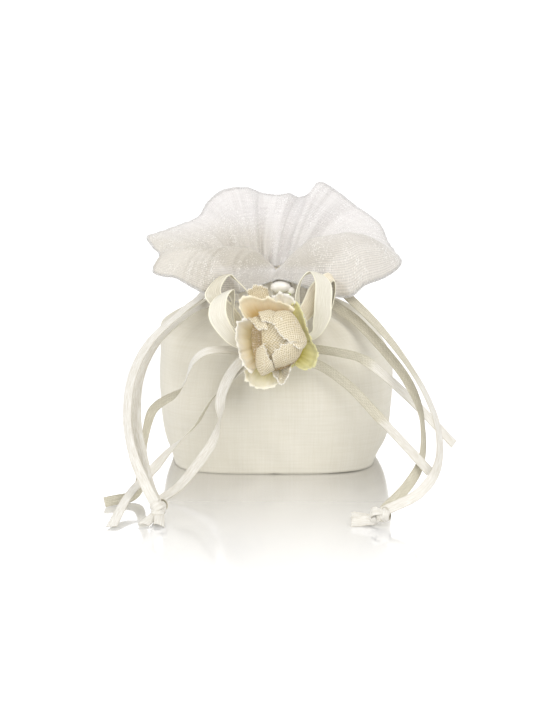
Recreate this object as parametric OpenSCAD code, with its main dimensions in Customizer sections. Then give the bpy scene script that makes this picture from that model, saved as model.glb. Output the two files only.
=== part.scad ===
// Drawstring favour pouch: a lined cloth bag on a boxed base, gathered at the neck by two satin
// ribbons that run through a casing and end in knots, under a wide frill with an overlocked hem.
// A ribbon bow with a fabric rose and two pearl stamens is tied in front of the neck.
// Millimetres. +Z is up, -Y is the front, and the origin is the middle of the base's underside.

/* [Bag] */
// Width of the filled bag where it is fullest
bag_w = 70; // [62:1:80]
// Depth of the filled bag where it is fullest
bag_d = 44; // [40:1:50]
// Width of the boxed base
base_w = 58; // [50:1:62]
// Depth of the boxed base
base_d = 40; // [34:1:44]
// Width across the shoulders, where the sides turn in towards the neck
shoulder_w = 66; // [58:1:74]
// Depth across the shoulders
shoulder_d = 35; // [30:1:40]
// Height at which the bag is fullest
full_z = 24; // [18:1:30]
// Height of the shoulders
shoulder_z = 40; // [36:1:44]
// Height of the lower edge of the neck
neck_z = 49; // [47:1:56]

/* [Layers] */
// Thickness of the outer cloth
cloth_t = 0.8; // [0.5:0.1:1.2]
// Thickness of the lining
lining_t = 0.4; // [0.3:0.1:0.8]
// Thickness of the card that stiffens the base
card_t = 1; // [0.6:0.2:2]
// Gap between the outer cloth and the lining
layer_gap = 0.3; // [0.2:0.1:0.6]

/* [Neck] */
// Width of the gathered neck
neck_w = 30; // [26:1:36]
// Depth of the gathered neck
neck_d = 14; // [13:0.5:18]
// Thickness of the casing's cloth
casing_t = 0.6; // [0.4:0.1:1]
// Thickness of the bunched pleats inside the casing
pleat_t = 2.2; // [1.4:0.2:2.6]

/* [Ribbon] */
// Width of the satin ribbon
ribbon_w = 3; // [2.6:0.1:3.2]
// Thickness of the ribbon, with its loose lie
ribbon_t = 0.8; // [0.4:0.1:1]
// Gap round a ribbon inside the casing
ribbon_gap = 0.3; // [0.2:0.05:0.5]
// Diameter of the knot at the end of each drawstring
knot_d = 5.8; // [5:0.2:7]
// Length of the cut ends below each drawstring knot
knot_end_l = 6; // [4:0.5:8]

/* [Frill] */
// Width of the frill from tip to tip
frill_w = 73; // [64:1:84]
// Depth of the frill
frill_d = 36; // [30:1:44]
// Height of the frill above the casing
frill_h = 24; // [18:1:30]
// Thickness of the frill's cloth
frill_t = 0.6; // [0.4:0.1:1]
// Width of the overlocked hem
hem_w = 1.2; // [0.8:0.2:2]
// Thickness of the overlocked hem
hem_t = 1; // [0.6:0.1:1.4]

/* [Bow] */
// Height of the bow's knot above the table
bow_z = 39.5; // [38:0.5:41]
// Width of the bow's knot
bow_knot_w = 7; // [6:0.5:8]
// Height of the bow's knot
bow_knot_h = 7; // [6:0.5:8]
// Depth of the bow's knot
bow_knot_d = 4.6; // [4:0.2:5]

/* [Rose] */
// Diameter of the rose
rose_d = 25; // [20:1:28]
// Height of the rose from its calyx to its rim
rose_h = 12; // [9:0.5:14]
// How far the rose looks up
rose_tilt = 15; // [5:1:20]
// Thickness of a petal
petal_t = 0.4; // [0.3:0.1:0.5]
// Diameter of the rose's wire stem
stem_d = 1.2; // [0.8:0.2:1.6]
// Gap between the wire stem and the bow's knot
stem_gap = 0.3; // [0.2:0.1:0.6]
// Diameter of the large pearl
pearl_d = 3.8; // [3:0.2:5]
// Diameter of the small pearl
small_pearl_d = 2.4; // [1.8:0.2:3]
// Diameter of the pearls' wire
pearl_wire_d = 0.8; // [0.6:0.1:1]

/* [Hidden] */
$fn = 48;

ivory = [0.90, 0.87, 0.80];
lining_ivory = [0.86, 0.83, 0.76];
sheer_white = [0.95, 0.95, 0.94];
satin = [0.96, 0.94, 0.84];
shaded_satin = [0.90, 0.87, 0.74];

// How square each level of the bag is in plan: 2 is an ellipse, and more is squarer
base_square = 3.6;
full_square = 3.2;
shoulder_square = 2.8;
throat_square = 2.6;

plan_step = 7.5;
lower_rows = 6;
middle_rows = 4;
upper_rows = 7;

floor_t = cloth_t + card_t;
lining_inset = cloth_t + layer_gap;
throat_w = neck_w - 2 * casing_t;
throat_d = neck_d - 2 * casing_t;

// The casing is a flattened ring, straight in front and behind, with a tunnel for the two ribbons
tunnel_w = ribbon_t + 2 * ribbon_gap;
tunnel_h = 2 * ribbon_w + 3 * ribbon_gap;
casing_h = tunnel_h + 2 * casing_t;
neck_r = neck_d / 2;
neck_run = (neck_w - neck_d) / 2;
tunnel_r = neck_r - casing_t - tunnel_w / 2;
neck_hole_r = neck_r - casing_t - tunnel_w - pleat_t;
frill_z = neck_z + casing_h;
left_ribbon_z = neck_z + casing_t + 1.5 * ribbon_w + 2 * ribbon_gap;
right_ribbon_z = neck_z + casing_t + 0.5 * ribbon_w + ribbon_gap;
// How far from the middle each drawstring's own straight stretch begins
ribbon_start = 1;
// Where a ribbon that runs straight on leaves the casing's rounded end
eyelet_x = neck_run + sqrt(neck_r * neck_r - tunnel_r * tunnel_r) + 1;

// The frill stands on top of the casing, a little inside its edge
frill_rows = 8;
frill_inset = 1.8;
frill_foot_w = neck_w - 2 * frill_inset;
frill_foot_d = neck_d - 2 * frill_inset;
frill_flare = 3.6;
// The share of the hem's rise at which the cloth starts to fall over
fall_rise = 0.8;
seam_gap = 0.15;
// The frill's hem at stations from its right tip, round by the back to its left tip, and back along
// the front, where the cloth rises and falls over. Each station has the hem's angle, its reach and
// its rise, how far up the cloth leaves the casing, how far it rises over the hem before it falls,
// and the share of the way out at which it does. All but the angle are shares of the frill's size.
hem_stations = [
  [-3, 1.05, 0.14, 0.33, 0.46, 0.7], [12, 1.01, 0.3, 0.33, 0.33, 0.62],
  [19, 1.1, 0.46, 0.33, 0.25, 0.62], [28, 0.97, 0.7, 0.33, 0.12, 0.62],
  [32, 0.77, 0.89, 0.33, 0.08, 0.6], [39, 0.59, 1.02, 0.33, 0.08, 0.55],
  [53, 0.84, 0.89, 0.33, 0.12, 0.6], [68, 1.11, 0.75, 0.33, 0.17, 0.65],
  [75, 0.85, 0.83, 0.33, 0.17, 0.62], [105, 0.77, 0.85, 0.33, 0.17, 0.62],
  [124, 0.57, 0.94, 0.33, 0.12, 0.6], [141, 0.48, 0.96, 0.33, 0.12, 0.6],
  [148, 0.57, 0.92, 0.33, 0.12, 0.62], [154, 0.67, 0.78, 0.33, 0.12, 0.62],
  [159, 0.7, 0.6, 0.33, 0.17, 0.62], [169, 0.81, 0.51, 0.33, 0.17, 0.62],
  [180, 1.06, 0.42, 0.33, 0.21, 0.7], [193, 1.05, 0.26, 0.33, 0.42, 0.8],
  [200, 1.34, 0.12, 0.33, 0.54, 0.85], [209, 1.29, 0.07, 0.38, 0.62, 0.9],
  [212, 1.1, -0.06, 0.38, 0.79, 0.92], [213, 0.86, -0.17, 0.42, 0.88, 0.95],
  [219, 0.63, -0.17, 0.46, 0.83, 1], [229, 0.47, -0.07, 0.5, 0.62, 1.1],
  [242, 0.35, 0.02, 0.5, 0.38, 1.2], [254, 0.29, 0.06, 0.42, 0.29, 1.3],
  [276, 0.34, 0.07, 0.5, 0.42, 1.3], [296, 0.42, 0.04, 0.54, 0.54, 1.3],
  [309, 0.53, -0.05, 0.54, 0.79, 1.2], [317, 0.64, -0.14, 0.5, 1.04, 1.05],
  [326, 0.76, -0.21, 0.46, 1.21, 1], [330, 0.93, -0.19, 0.42, 1.29, 0.95],
  [334, 1.03, -0.05, 0.42, 1.17, 0.92], [343, 1.05, 0, 0.38, 1, 0.88],
  [351, 1.07, 0.08, 0.33, 0.71, 0.8]
];
right_tip = len(hem_stations);
left_tip = 16;

// A ribbon stands on edge inside the casing and the bow's knot, its face looks to the front and up
// where it is loose, and it is flat on the table
held_face = [0, -1, 0];
loose_face = [0, -0.7, 0.7];
laid_face = [0, 0, 1];

// The bow's knot lies against the front panel, and the ribbons leave its sides in two levels
bow_gap = 0.2;
bow_back_y = -front_depth(bow_z - bow_knot_h / 2) - bow_gap;
bow_y = bow_back_y - bow_knot_d / 2;
bow_front_y = bow_back_y - bow_knot_d;
loop_z = bow_z + bow_knot_h / 4;
tail_z = bow_z - bow_knot_h / 4;
knot_top_z = bow_z + bow_knot_h / 2;
ribbon_bite = 0.3;
knot_side_x = bow_knot_w / 2 - ribbon_bite;

// The rose's own frame: its wire leaves the bow's knot and its axis looks forward and up
stem_l = 1;
calyx_h = 2;
stem_place = [0.5, bow_front_y - stem_gap, bow_z + 0.5];
petal_gap = 0.35;
petal_pitch = petal_t + petal_gap;
petal_places = 8;
petal_foot_r = 0.8;
core_r = 0.6;
rose_steps = 10;

// The pearls lie against the front of the casing, each on its own wire from the bow's knot
pearl_z = frill_z - pearl_d / 2 - 1;
large_pearl_place = [1.6, -neck_r - pearl_d / 2, pearl_z];
small_pearl_place = large_pearl_place + [(pearl_d + small_pearl_d) / 2, 0, -1.2];

left_knot_place = [-33, -64, 3.1];
right_knot_place = [29.5, -70.5, 3.1];

left_front_route = [
  [-ribbon_start, -tunnel_r, left_ribbon_z], [-eyelet_x, -tunnel_r, left_ribbon_z], [-18, -8, 50],
  [-26, -12.5, 46.5], [-35, -21.5, 40], [-39.5, -32, 32], [-40, -42.5, 23], [-38, -51, 15],
  [-36, -58, 8.5], [-33.5, -62.5, 4]
];
left_back_route = [
  [-ribbon_start, tunnel_r, left_ribbon_z], [-eyelet_x, tunnel_r, left_ribbon_z], [-18, 3, 53.5],
  [-22, -8, 51], [-27, -14.5, 48.5], [-36.5, -24, 41.5], [-41.5, -35, 33.5], [-42.5, -45, 23.5],
  [-40.5, -53, 15.5], [-37, -60, 9], [-34, -64, 4.5]
];
right_front_route = [
  [ribbon_start, -tunnel_r, right_ribbon_z], [eyelet_x, -tunnel_r, right_ribbon_z], [16.5, -7.5, 49],
  [24, -13.5, 45], [32, -23, 38.5], [38.5, -34, 32], [42, -44, 24.5], [42, -53.5, 15.5],
  [38, -61, 9.5], [30.5, -69, 4]
];
right_back_route = [
  [ribbon_start, tunnel_r, right_ribbon_z], [eyelet_x, tunnel_r, right_ribbon_z], [18, 2, 52],
  [22, -9.5, 51], [29.5, -18.5, 45.5], [37, -30, 38.5], [43, -41, 31], [46.5, -51.5, 23],
  [46, -61.5, 15], [40.5, -67, 8.5], [30.5, -71, 4.5]
];

left_front_loop_route = [
  [-knot_side_x, bow_y - 1.8, loop_z], [-8.5, -24, 40], [-13, -25.5, 42.5], [-17.5, -25, 48],
  [-18, -23.5, 51], [-15.5, -21.5, 54.5], [-12, -19.5, 56], [-11.5, -18.5, 53], [-12.5, -19, 49],
  [-11.5, -20, 44.5], [-8.5, -21.5, 41.5], [-knot_side_x, bow_y - 0.6, loop_z]
];
left_back_loop_route = [
  [-knot_side_x, bow_y + 0.6, loop_z], [-8.5, -18, 42.5], [-12, -17, 46.5], [-15.5, -16.5, 50.5],
  [-18.5, -15.5, 54], [-16.5, -14.5, 58], [-12.5, -14, 58.5], [-8.5, -14.5, 54.5], [-5, -16, 48.5],
  [-1.8, bow_y + 1.4, knot_top_z - ribbon_bite]
];
right_front_loop_route = [
  [knot_side_x, bow_y - 1.8, loop_z], [7.5, -23.5, 41.5], [9, -24, 46], [7, -23, 51],
  [6.5, -21.5, 55.5], [8, -20, 59.5], [11.5, -19, 61], [14, -19, 58], [14, -20, 52],
  [13.5, -20.5, 47], [11, -21.5, 42.5], [knot_side_x, bow_y - 0.6, loop_z]
];
right_back_loop_route = [
  [1.8, bow_y + 1.4, knot_top_z - ribbon_bite], [5.5, -18, 45], [10, -17, 50],
  [13, -15.5, 56], [16.5, -14, 58.5], [17.5, -14.5, 55], [16.5, -15.5, 50], [14.5, -17, 45.5],
  [10, -18.5, 42.5], [knot_side_x, bow_y + 0.6, loop_z]
];

left_tail_outer_route = [
  [-knot_side_x, bow_y + 1, tail_z], [-12, -22.5, 38.5], [-19.5, -27, 39.5], [-24, -28.5, 36.5],
  [-26.5, -28, 30], [-29.5, -27.5, 26.5], [-36, -28.5, 21.5], [-38.5, -37, 12], [-40, -46, 2.5],
  [-49, -52.5, 0.6]
];
left_tail_middle_route = [
  [-knot_side_x, bow_y - 0.3, tail_z], [-9, -25, 34.5], [-18, -25, 25], [-23.5, -28, 17],
  [-30.5, -35, 12], [-36, -43, 7.5], [-42, -55, 4], [-46, -73, 0.6]
];
left_tail_inner_route = [
  [-knot_side_x, bow_y - 1.6, tail_z], [-10.5, -25.8, 35.5], [-15.5, -26.5, 27], [-16.5, -27.5, 18.5],
  [-18.5, -30.5, 12.5], [-23, -37, 7.5], [-28, -43, 3], [-33, -47, 0.6]
];
right_tail_upper_route = [
  [knot_side_x, bow_y + 0.6, tail_z], [9.5, -22.5, 39], [19, -25.5, 38.5], [26, -28, 37],
  [33.5, -28.5, 31], [42, -31.5, 23.5], [52, -37, 14]
];
right_tail_lower_route = [
  [knot_side_x, bow_y - 1, tail_z], [9.5, -24.5, 35.5], [14, -25, 34], [22, -27, 28.5], [30.5, -36, 21.5],
  [39, -53.5, 16.5], [44, -60, 12.5]
];

function lerp(a, b, t) = a + (b - a) * t;
function unit(v) = v / norm(v);
function flat(list) = [for (part = list) each part];

// A point of a level's outline, seen from above
function plan(angle, half_w, half_d, square) =
  let (reach = pow(pow(abs(cos(angle)) / half_w, square) + pow(abs(sin(angle)) / half_d, square),
                   -1 / square))
  [reach * cos(angle), reach * sin(angle)];

// The bag's side in three parts. A level is [height, half width, half depth, squareness].
function lower_level(t) = [
  lerp(0, full_z, t), lerp(base_w, bag_w, sin(90 * t)) / 2, lerp(base_d, bag_d, sin(90 * t)) / 2,
  lerp(base_square, full_square, t)
];
function middle_level(t) = [
  lerp(full_z, shoulder_z, t), lerp(bag_w, shoulder_w, 1 - cos(90 * t)) / 2,
  lerp(bag_d, shoulder_d, 1 - cos(90 * t)) / 2, lerp(full_square, shoulder_square, t)
];
function upper_level(t) = [
  lerp(shoulder_z, neck_z, t), lerp(shoulder_w, throat_w, t) / 2, lerp(shoulder_d, throat_d, t) / 2,
  lerp(shoulder_square, throat_square, t)
];
function side_levels(start_z) = concat(
  [for (i = [0:lower_rows - 1]) lower_level(lerp(start_z / full_z, 1, i / lower_rows))],
  [for (i = [0:middle_rows - 1]) middle_level(i / middle_rows)],
  [for (i = [0:upper_rows]) upper_level(i / upper_rows)]
);
function wall(levels, inset, angles) = [
  for (level = levels)
    [for (angle = angles) [each plan(angle, level[1] - inset, level[2] - inset, level[3]), level[0]]]
];

// How far the front panel stands in front of the middle at a height
function front_depth(z) =
  z < full_z ? lower_level(z / full_z)[2]
  : z < shoulder_z ? middle_level((z - full_z) / (shoulder_z - full_z))[2]
  : upper_level((z - shoulder_z) / (neck_z - shoulder_z))[2];

function base_outline(inset) = [
  for (angle = [0:plan_step:360 - plan_step])
    plan(angle, base_w / 2 - inset, base_d / 2 - inset, base_square)
];

// The four points that steer the frill's cloth at a station: its foot, two on its way, and its hem
function frill_line(i) =
  let (station = hem_stations[i % right_tip],
       turn = i < left_tip ? i / left_tip : 1 + (i - left_tip) / (right_tip - left_tip),
       foot = plan(180 * turn, frill_foot_w / 2, frill_foot_d / 2, throat_square),
       near = plan(station[0], frill_foot_w / 2, frill_foot_d / 2, throat_square),
       far = plan(station[0], frill_w / 2, frill_d / 2, 2),
       hem = lerp(near, far, station[1]),
       rise = station[2] * frill_h,
       leave = foot + frill_flare * unit(foot),
       fall = lerp(foot, hem, station[5]))
  [[each foot, frill_z], [each leave, frill_z + station[3] * frill_h],
   [each fall, frill_z + fall_rise * rise + station[4] * frill_h], [each hem, frill_z + rise]];

// How far along its line a station's cloth ends that is cut short of the hem by a length
function short_of_hem(i, cut) =
  let (line = frill_line(i))
  1 - cut / (3 * norm(line[3] - line[2]));

// A point of the frill: u is 0 at the casing and 1 at the hem, and lift is towards the inner side
function frill_point(i, u, lift) =
  let (line = frill_line(i), v = 1 - u,
       place = v * v * v * line[0] + 3 * v * v * u * line[1] + 3 * v * u * u * line[2]
               + u * u * u * line[3],
       ahead = unit(v * v * (line[1] - line[0]) + 2 * v * u * (line[2] - line[1])
                    + u * u * (line[3] - line[2])),
       out = unit([line[3][0] - line[0][0], line[3][1] - line[0][1]]),
       lean = u == 0 ? 90 : atan2(ahead[2], ahead * [each out, 0]))
  place + lift * [each -sin(lean) * out, cos(lean)];
function frill_grid(first, last, low_cut, high_cut, rows, lift) = [
  for (row = [0:rows])
    [for (i = [first:last])
       let (start = low_cut == undef ? 0 : short_of_hem(i, low_cut), end = short_of_hem(i, high_cut))
       frill_point(i, lerp(start, end, row / rows), lift)]
];

// The two triangles of a four-cornered face
function quad(a, b, c, d) = [[a, b, c], [a, c, d]];

// A closed solid between an outer and an inner grid of points
module slab(outer, inner, ring = false) {
  rows = len(outer);
  columns = len(outer[0]);
  last = ring ? columns - 1 : columns - 2;
  function out(i, j) = i * columns + j % columns;
  function inn(i, j) = rows * columns + out(i, j);
  skins = [
    for (i = [0:rows - 2], j = [0:last])
      each concat(quad(out(i, j), out(i + 1, j), out(i + 1, j + 1), out(i, j + 1)),
                  quad(inn(i, j), inn(i, j + 1), inn(i + 1, j + 1), inn(i + 1, j)))
  ];
  top = rows - 1;
  rims = [
    for (j = [0:last])
      each concat(quad(out(0, j), out(0, j + 1), inn(0, j + 1), inn(0, j)),
                  quad(out(top, j + 1), out(top, j), inn(top, j), inn(top, j + 1)))
  ];
  side = columns - 1;
  sides = ring ? [] : [
    for (i = [0:rows - 2])
      each concat(quad(out(i + 1, 0), out(i, 0), inn(i, 0), inn(i + 1, 0)),
                  quad(out(i, side), out(i + 1, side), inn(i + 1, side), inn(i, side)))
  ];
  polyhedron(concat(flat(outer), flat(inner)), concat(skins, rims, sides), convexity = 8);
}

// A flat ribbon swept along a route, with eight sides and a ring at each point of the route. The
// counts say how many of its first and last rings are held on edge, or how many last ones lie flat.
module ribbon(route, first_held = 1, last_held = 0, laid = 0) {
  count = len(route);
  function face(i) =
    i < first_held || i >= count - last_held ? held_face : i >= count - laid ? laid_face : loose_face;
  function heading(i) = unit(route[min(i + 1, count - 1)] - route[max(i - 1, 0)]);
  function ring(i) =
    let (ahead = heading(i), up = unit(face(i) - (face(i) * ahead) * ahead), across = cross(ahead, up))
    [for (k = [0:7]) route[i] + ribbon_w / 2 * cos(45 * k) * across + ribbon_t / 2 * sin(45 * k) * up];
  points = flat([for (i = [0:count - 1]) ring(i)]);
  tube = [
    for (i = [0:count - 2], k = [0:7])
      each quad(8 * i + k, 8 * i + (k + 1) % 8, 8 * (i + 1) + (k + 1) % 8, 8 * (i + 1) + k)
  ];
  last = 8 * (count - 1);
  ends = [for (k = [1:6]) each [[0, k + 1, k], [last, last + k, last + k + 1]]];
  polyhedron(points, concat(tube, ends), convexity = 8);
}

module neck_outline(radius) {
  square([2 * neck_run, 2 * radius], center = true);
  for (side = [-1, 1])
    translate([side * neck_run, 0])
      circle(r = radius);
}

module tunnel_outline(width) {
  difference() {
    neck_outline(tunnel_r + width / 2);
    neck_outline(tunnel_r - width / 2);
  }
}

module base_panel() {
  color(ivory)
    linear_extrude(cloth_t)
      polygon(base_outline(cloth_t));
}

module base_card() {
  color("gainsboro")
    translate([0, 0, cloth_t])
      linear_extrude(card_t)
        polygon(base_outline(lining_inset));
}

module panel(start_angle) {
  angles = [start_angle:plan_step:start_angle + 180];
  levels = side_levels(0);
  color(ivory)
    slab(wall(levels, 0, angles), wall(levels, cloth_t, angles));
}

module front_panel() {
  panel(180);
}

module back_panel() {
  panel(0);
}

module lining() {
  angles = [0:2 * plan_step:360 - 2 * plan_step];
  levels = side_levels(floor_t);
  color(lining_ivory)
    slab(wall(levels, lining_inset, angles), wall(levels, lining_inset + lining_t, angles), true);
}

module lining_base() {
  color(lining_ivory)
    translate([0, 0, floor_t])
      linear_extrude(lining_t)
        polygon(base_outline(lining_inset + lining_t + layer_gap));
}

// The eyelets are where the drawstrings' straight runs leave through the casing's rounded ends
module neck_casing() {
  color(sheer_white)
    difference() {
      translate([0, 0, neck_z])
        linear_extrude(casing_h)
          difference() {
            neck_outline(neck_r);
            neck_outline(neck_hole_r);
          }
      translate([0, 0, neck_z + casing_t])
        linear_extrude(tunnel_h)
          tunnel_outline(tunnel_w);
      for (y = [-tunnel_r, tunnel_r]) {
        eyelet(-1, y, left_ribbon_z);
        eyelet(1, y, right_ribbon_z);
      }
    }
}

module eyelet(side, y, z) {
  translate([side * (neck_run + neck_r / 2), y, z])
    cube([neck_r, tunnel_w, ribbon_w + 2 * ribbon_gap], center = true);
}

module frill(first, last) {
  cut = hem_w + seam_gap;
  color(sheer_white)
    slab(frill_grid(first, last, undef, cut, frill_rows, 0),
         frill_grid(first, last, undef, cut, frill_rows, frill_t));
}

module frill_hem(first, last) {
  outside = (frill_t - hem_t) / 2;
  color("white")
    slab(frill_grid(first, last, hem_w, 0, 1, outside),
         frill_grid(first, last, hem_w, 0, 1, outside + hem_t));
}

module frill_front() {
  frill(left_tip, right_tip);
}

module frill_back() {
  frill(0, left_tip);
}

module frill_hem_front() {
  frill_hem(left_tip, right_tip);
}

module frill_hem_back() {
  frill_hem(0, left_tip);
}

// The part of a drawstring that stays inside the casing, round the end away from its own side
module hidden_loop(side, z) {
  color(shaded_satin)
    translate([0, 0, z - ribbon_w / 2])
      linear_extrude(ribbon_w)
        intersection() {
          tunnel_outline(ribbon_t);
          translate([side * (neck_w / 2 - ribbon_start + ribbon_gap), 0])
            square([neck_w, 2 * neck_d], center = true);
        }
}

module left_drawstring_loop() {
  hidden_loop(1, left_ribbon_z);
}

module right_drawstring_loop() {
  hidden_loop(-1, right_ribbon_z);
}

module left_drawstring_front() {
  color(satin)
    ribbon(left_front_route, 2);
}

module left_drawstring_back() {
  color(satin)
    ribbon(left_back_route, 2);
}

module right_drawstring_front() {
  color(satin)
    ribbon(right_front_route, 2);
}

module right_drawstring_back() {
  color(satin)
    ribbon(right_back_route, 2);
}

// An overhand knot: a round heart with two turns of ribbon standing out round it
module end_knot(place, turn) {
  wrap_d = knot_d / 4;
  color(satin)
    translate(place)
      rotate([0, 90, turn])
        rotate_extrude()
          intersection() {
            union() {
              circle(d = knot_d - wrap_d / 2);
              for (y = [-wrap_d / 2, wrap_d / 2])
                translate([(knot_d - wrap_d) / 2, y])
                  circle(d = wrap_d);
            }
            translate([0, -knot_d / 2])
              square(knot_d);
          }
}

// The two cut ends that splay out of a knot, one lying on the other just above the table
module knot_ends(place, turn) {
  splay = 16;
  lift = [ribbon_gap, ribbon_gap + ribbon_t];
  color(satin)
    for (i = [0, 1])
      translate([place[0], place[1], lift[i]])
        rotate([0, 0, turn + (2 * i - 1) * splay])
          translate([knot_d / 2 - 1, -ribbon_w / 2, 0])
            cube([knot_end_l + 1, ribbon_w, ribbon_t]);
}

module left_knot() {
  end_knot(left_knot_place, 70);
}

module left_knot_ends() {
  knot_ends(left_knot_place, 255);
}

module right_knot() {
  end_knot(right_knot_place, 20);
}

module right_knot_ends() {
  knot_ends(right_knot_place, 165);
}

module bow_knot() {
  color(satin)
    translate([0, bow_y, bow_z])
      cube([bow_knot_w, bow_knot_d, bow_knot_h], center = true);
}

module left_front_loop() {
  color(satin)
    ribbon(left_front_loop_route, 1, 1);
}

module left_back_loop() {
  color(satin)
    ribbon(left_back_loop_route, 1, 1);
}

module right_front_loop() {
  color(satin)
    ribbon(right_front_loop_route, 1, 1);
}

module right_back_loop() {
  color(satin)
    ribbon(right_back_loop_route, 1, 1);
}

module left_tail_outer() {
  color(satin)
    ribbon(left_tail_outer_route, laid = 1);
}

module left_tail_middle() {
  color(satin)
    ribbon(left_tail_middle_route, laid = 1);
}

module left_tail_inner() {
  color(satin)
    ribbon(left_tail_inner_route, laid = 1);
}

module right_tail_upper() {
  color(satin)
    ribbon(right_tail_upper_route);
}

module right_tail_lower() {
  color(satin)
    ribbon(right_tail_lower_route);
}

module in_rose_frame() {
  translate(stem_place)
    rotate([90 - rose_tilt, 0, 0])
      children();
}

// A cup's outline from its foot, out and up to its rim, which stands at a share of the rose's height
function cup_outline(foot_r, rim_r, share) =
  let (line = [
         for (i = [0:rose_steps])
           let (s = share * i / rose_steps)
           [lerp(foot_r, rim_r, sin(90 * s)), s * rose_h]
       ])
  concat(line, [for (i = [rose_steps:-1:0]) line[i] + [petal_t, 0]]);

// One petal: part of a cup, nested by its place so that no two petals touch
module petal(place, start_angle, span, share) {
  foot_r = petal_foot_r + place * petal_pitch;
  rim_r = rose_d / 2 - petal_t - (petal_places - place) * petal_pitch;
  in_rose_frame()
    translate([0, 0, stem_l + calyx_h])
      rotate([0, 0, start_angle])
        rotate_extrude(angle = span)
          polygon(cup_outline(foot_r, rim_r, share));
}

module rose_stem() {
  color("darkseagreen")
    in_rose_frame()
      cylinder(d = stem_d, h = stem_l);
}

// The calyx widens to carry the petals and the sepals outside them
module calyx() {
  color([0.80, 0.84, 0.55])
    in_rose_frame()
      translate([0, 0, stem_l])
        cylinder(r1 = stem_d, r2 = petal_foot_r + (petal_places + 1) * petal_pitch + petal_t, h = calyx_h);
}

module rose_core() {
  color([0.86, 0.76, 0.60])
    in_rose_frame()
      translate([0, 0, stem_l + calyx_h])
        cylinder(r = core_r, h = 0.7 * rose_h);
}

module lace_petal_1() {
  color([0.93, 0.89, 0.82])
    petal(0, 20, 200, 0.8);
}

module lace_petal_2() {
  color([0.93, 0.89, 0.82])
    petal(1, 190, 170, 0.9);
}

module lace_petal_3() {
  color([0.93, 0.89, 0.82])
    petal(2, 330, 150, 0.95);
}

module lace_petal_4() {
  color([0.93, 0.89, 0.82])
    petal(3, 110, 140, 1);
}

module outer_petal_1() {
  color([0.97, 0.93, 0.78])
    petal(4, 200, 110, 0.95);
}

module outer_petal_2() {
  color([0.97, 0.93, 0.78])
    petal(5, 290, 110, 0.9);
}

module outer_petal_3() {
  color([0.97, 0.93, 0.78])
    petal(6, 40, 110, 0.95);
}

module outer_petal_4() {
  color([0.97, 0.93, 0.78])
    petal(7, 120, 110, 0.85);
}

module outer_petal_5() {
  color([0.97, 0.93, 0.78])
    petal(8, 220, 110, 0.8);
}

// A sepal hugs the outside of the petals
module sepal(start_angle, span, share) {
  petal(petal_places + 1, start_angle, span, share);
}

module upper_sepal() {
  color([0.80, 0.86, 0.50])
    sepal(20, 26, 0.75);
}

module lower_sepal() {
  color([0.80, 0.86, 0.50])
    sepal(340, 30, 0.6);
}

// Two wires rise from the bow's knot, one into each pearl
module pearl_wire() {
  start = [0, bow_y, knot_top_z];
  color("darkseagreen")
    for (place = [large_pearl_place, small_pearl_place]) {
      rise = place - start;
      translate(start)
        rotate([0, atan2(norm([rise[0], rise[1]]), rise[2]), atan2(rise[1], rise[0])])
          cylinder(d = pearl_wire_d, h = norm(rise));
    }
}

module large_pearl() {
  color("white")
    translate(large_pearl_place)
      sphere(d = pearl_d);
}

module small_pearl() {
  color("white")
    translate(small_pearl_place)
      sphere(d = small_pearl_d);
}

base_panel();
base_card();
front_panel();
back_panel();
lining();
lining_base();
neck_casing();
frill_front();
frill_back();
frill_hem_front();
frill_hem_back();
left_drawstring_loop();
left_drawstring_front();
left_drawstring_back();
left_knot();
left_knot_ends();
right_drawstring_loop();
right_drawstring_front();
right_drawstring_back();
right_knot();
right_knot_ends();
bow_knot();
left_front_loop();
left_back_loop();
right_front_loop();
right_back_loop();
left_tail_outer();
left_tail_middle();
left_tail_inner();
right_tail_upper();
right_tail_lower();
rose_stem();
calyx();
rose_core();
lace_petal_1();
lace_petal_2();
lace_petal_3();
lace_petal_4();
outer_petal_1();
outer_petal_2();
outer_petal_3();
outer_petal_4();
outer_petal_5();
upper_sepal();
lower_sepal();
pearl_wire();
large_pearl();
small_pearl();
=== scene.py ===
"""A drawstring favour pouch: lined ivory cloth on a boxed base, gathered into a casing under a sheer
frill, with satin drawstrings, a ribbon bow, and a fabric rose with two pearl stamens."""

import math

import bmesh
import bpy
import numpy as np
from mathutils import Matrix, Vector


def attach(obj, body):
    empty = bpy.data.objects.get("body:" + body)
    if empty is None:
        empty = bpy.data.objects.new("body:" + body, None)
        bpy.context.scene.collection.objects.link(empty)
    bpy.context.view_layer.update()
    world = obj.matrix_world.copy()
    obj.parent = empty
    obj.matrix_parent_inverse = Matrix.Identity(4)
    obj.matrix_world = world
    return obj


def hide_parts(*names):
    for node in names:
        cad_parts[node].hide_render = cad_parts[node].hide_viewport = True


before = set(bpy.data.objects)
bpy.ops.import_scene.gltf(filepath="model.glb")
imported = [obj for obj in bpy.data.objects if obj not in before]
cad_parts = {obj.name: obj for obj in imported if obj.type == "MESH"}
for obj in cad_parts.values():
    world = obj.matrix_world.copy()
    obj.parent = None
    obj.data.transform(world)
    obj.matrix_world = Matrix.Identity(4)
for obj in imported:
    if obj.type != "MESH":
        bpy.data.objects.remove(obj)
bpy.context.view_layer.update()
MM = 0.001
TAU = 2 * math.pi


# ---- Small tools ----------------------------------------------------------------------------------

def unit(vectors):
    """Vectors of length 1 along the given ones."""
    vectors = np.asarray(vectors, float)
    return vectors / np.maximum(np.linalg.norm(vectors, axis=-1, keepdims=True), 1e-9)


def square_to(vectors, ahead):
    """The given directions turned at right angles to the ones ahead."""
    return unit(vectors - (vectors * ahead).sum(1, keepdims=True) * ahead)


def lerp(a, b, share):
    return a + (b - a) * share


def smooth(share):
    """0 to 1 with a soft start and end."""
    share = np.clip(share, 0, 1)
    return share * share * (3 - 2 * share)


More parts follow.
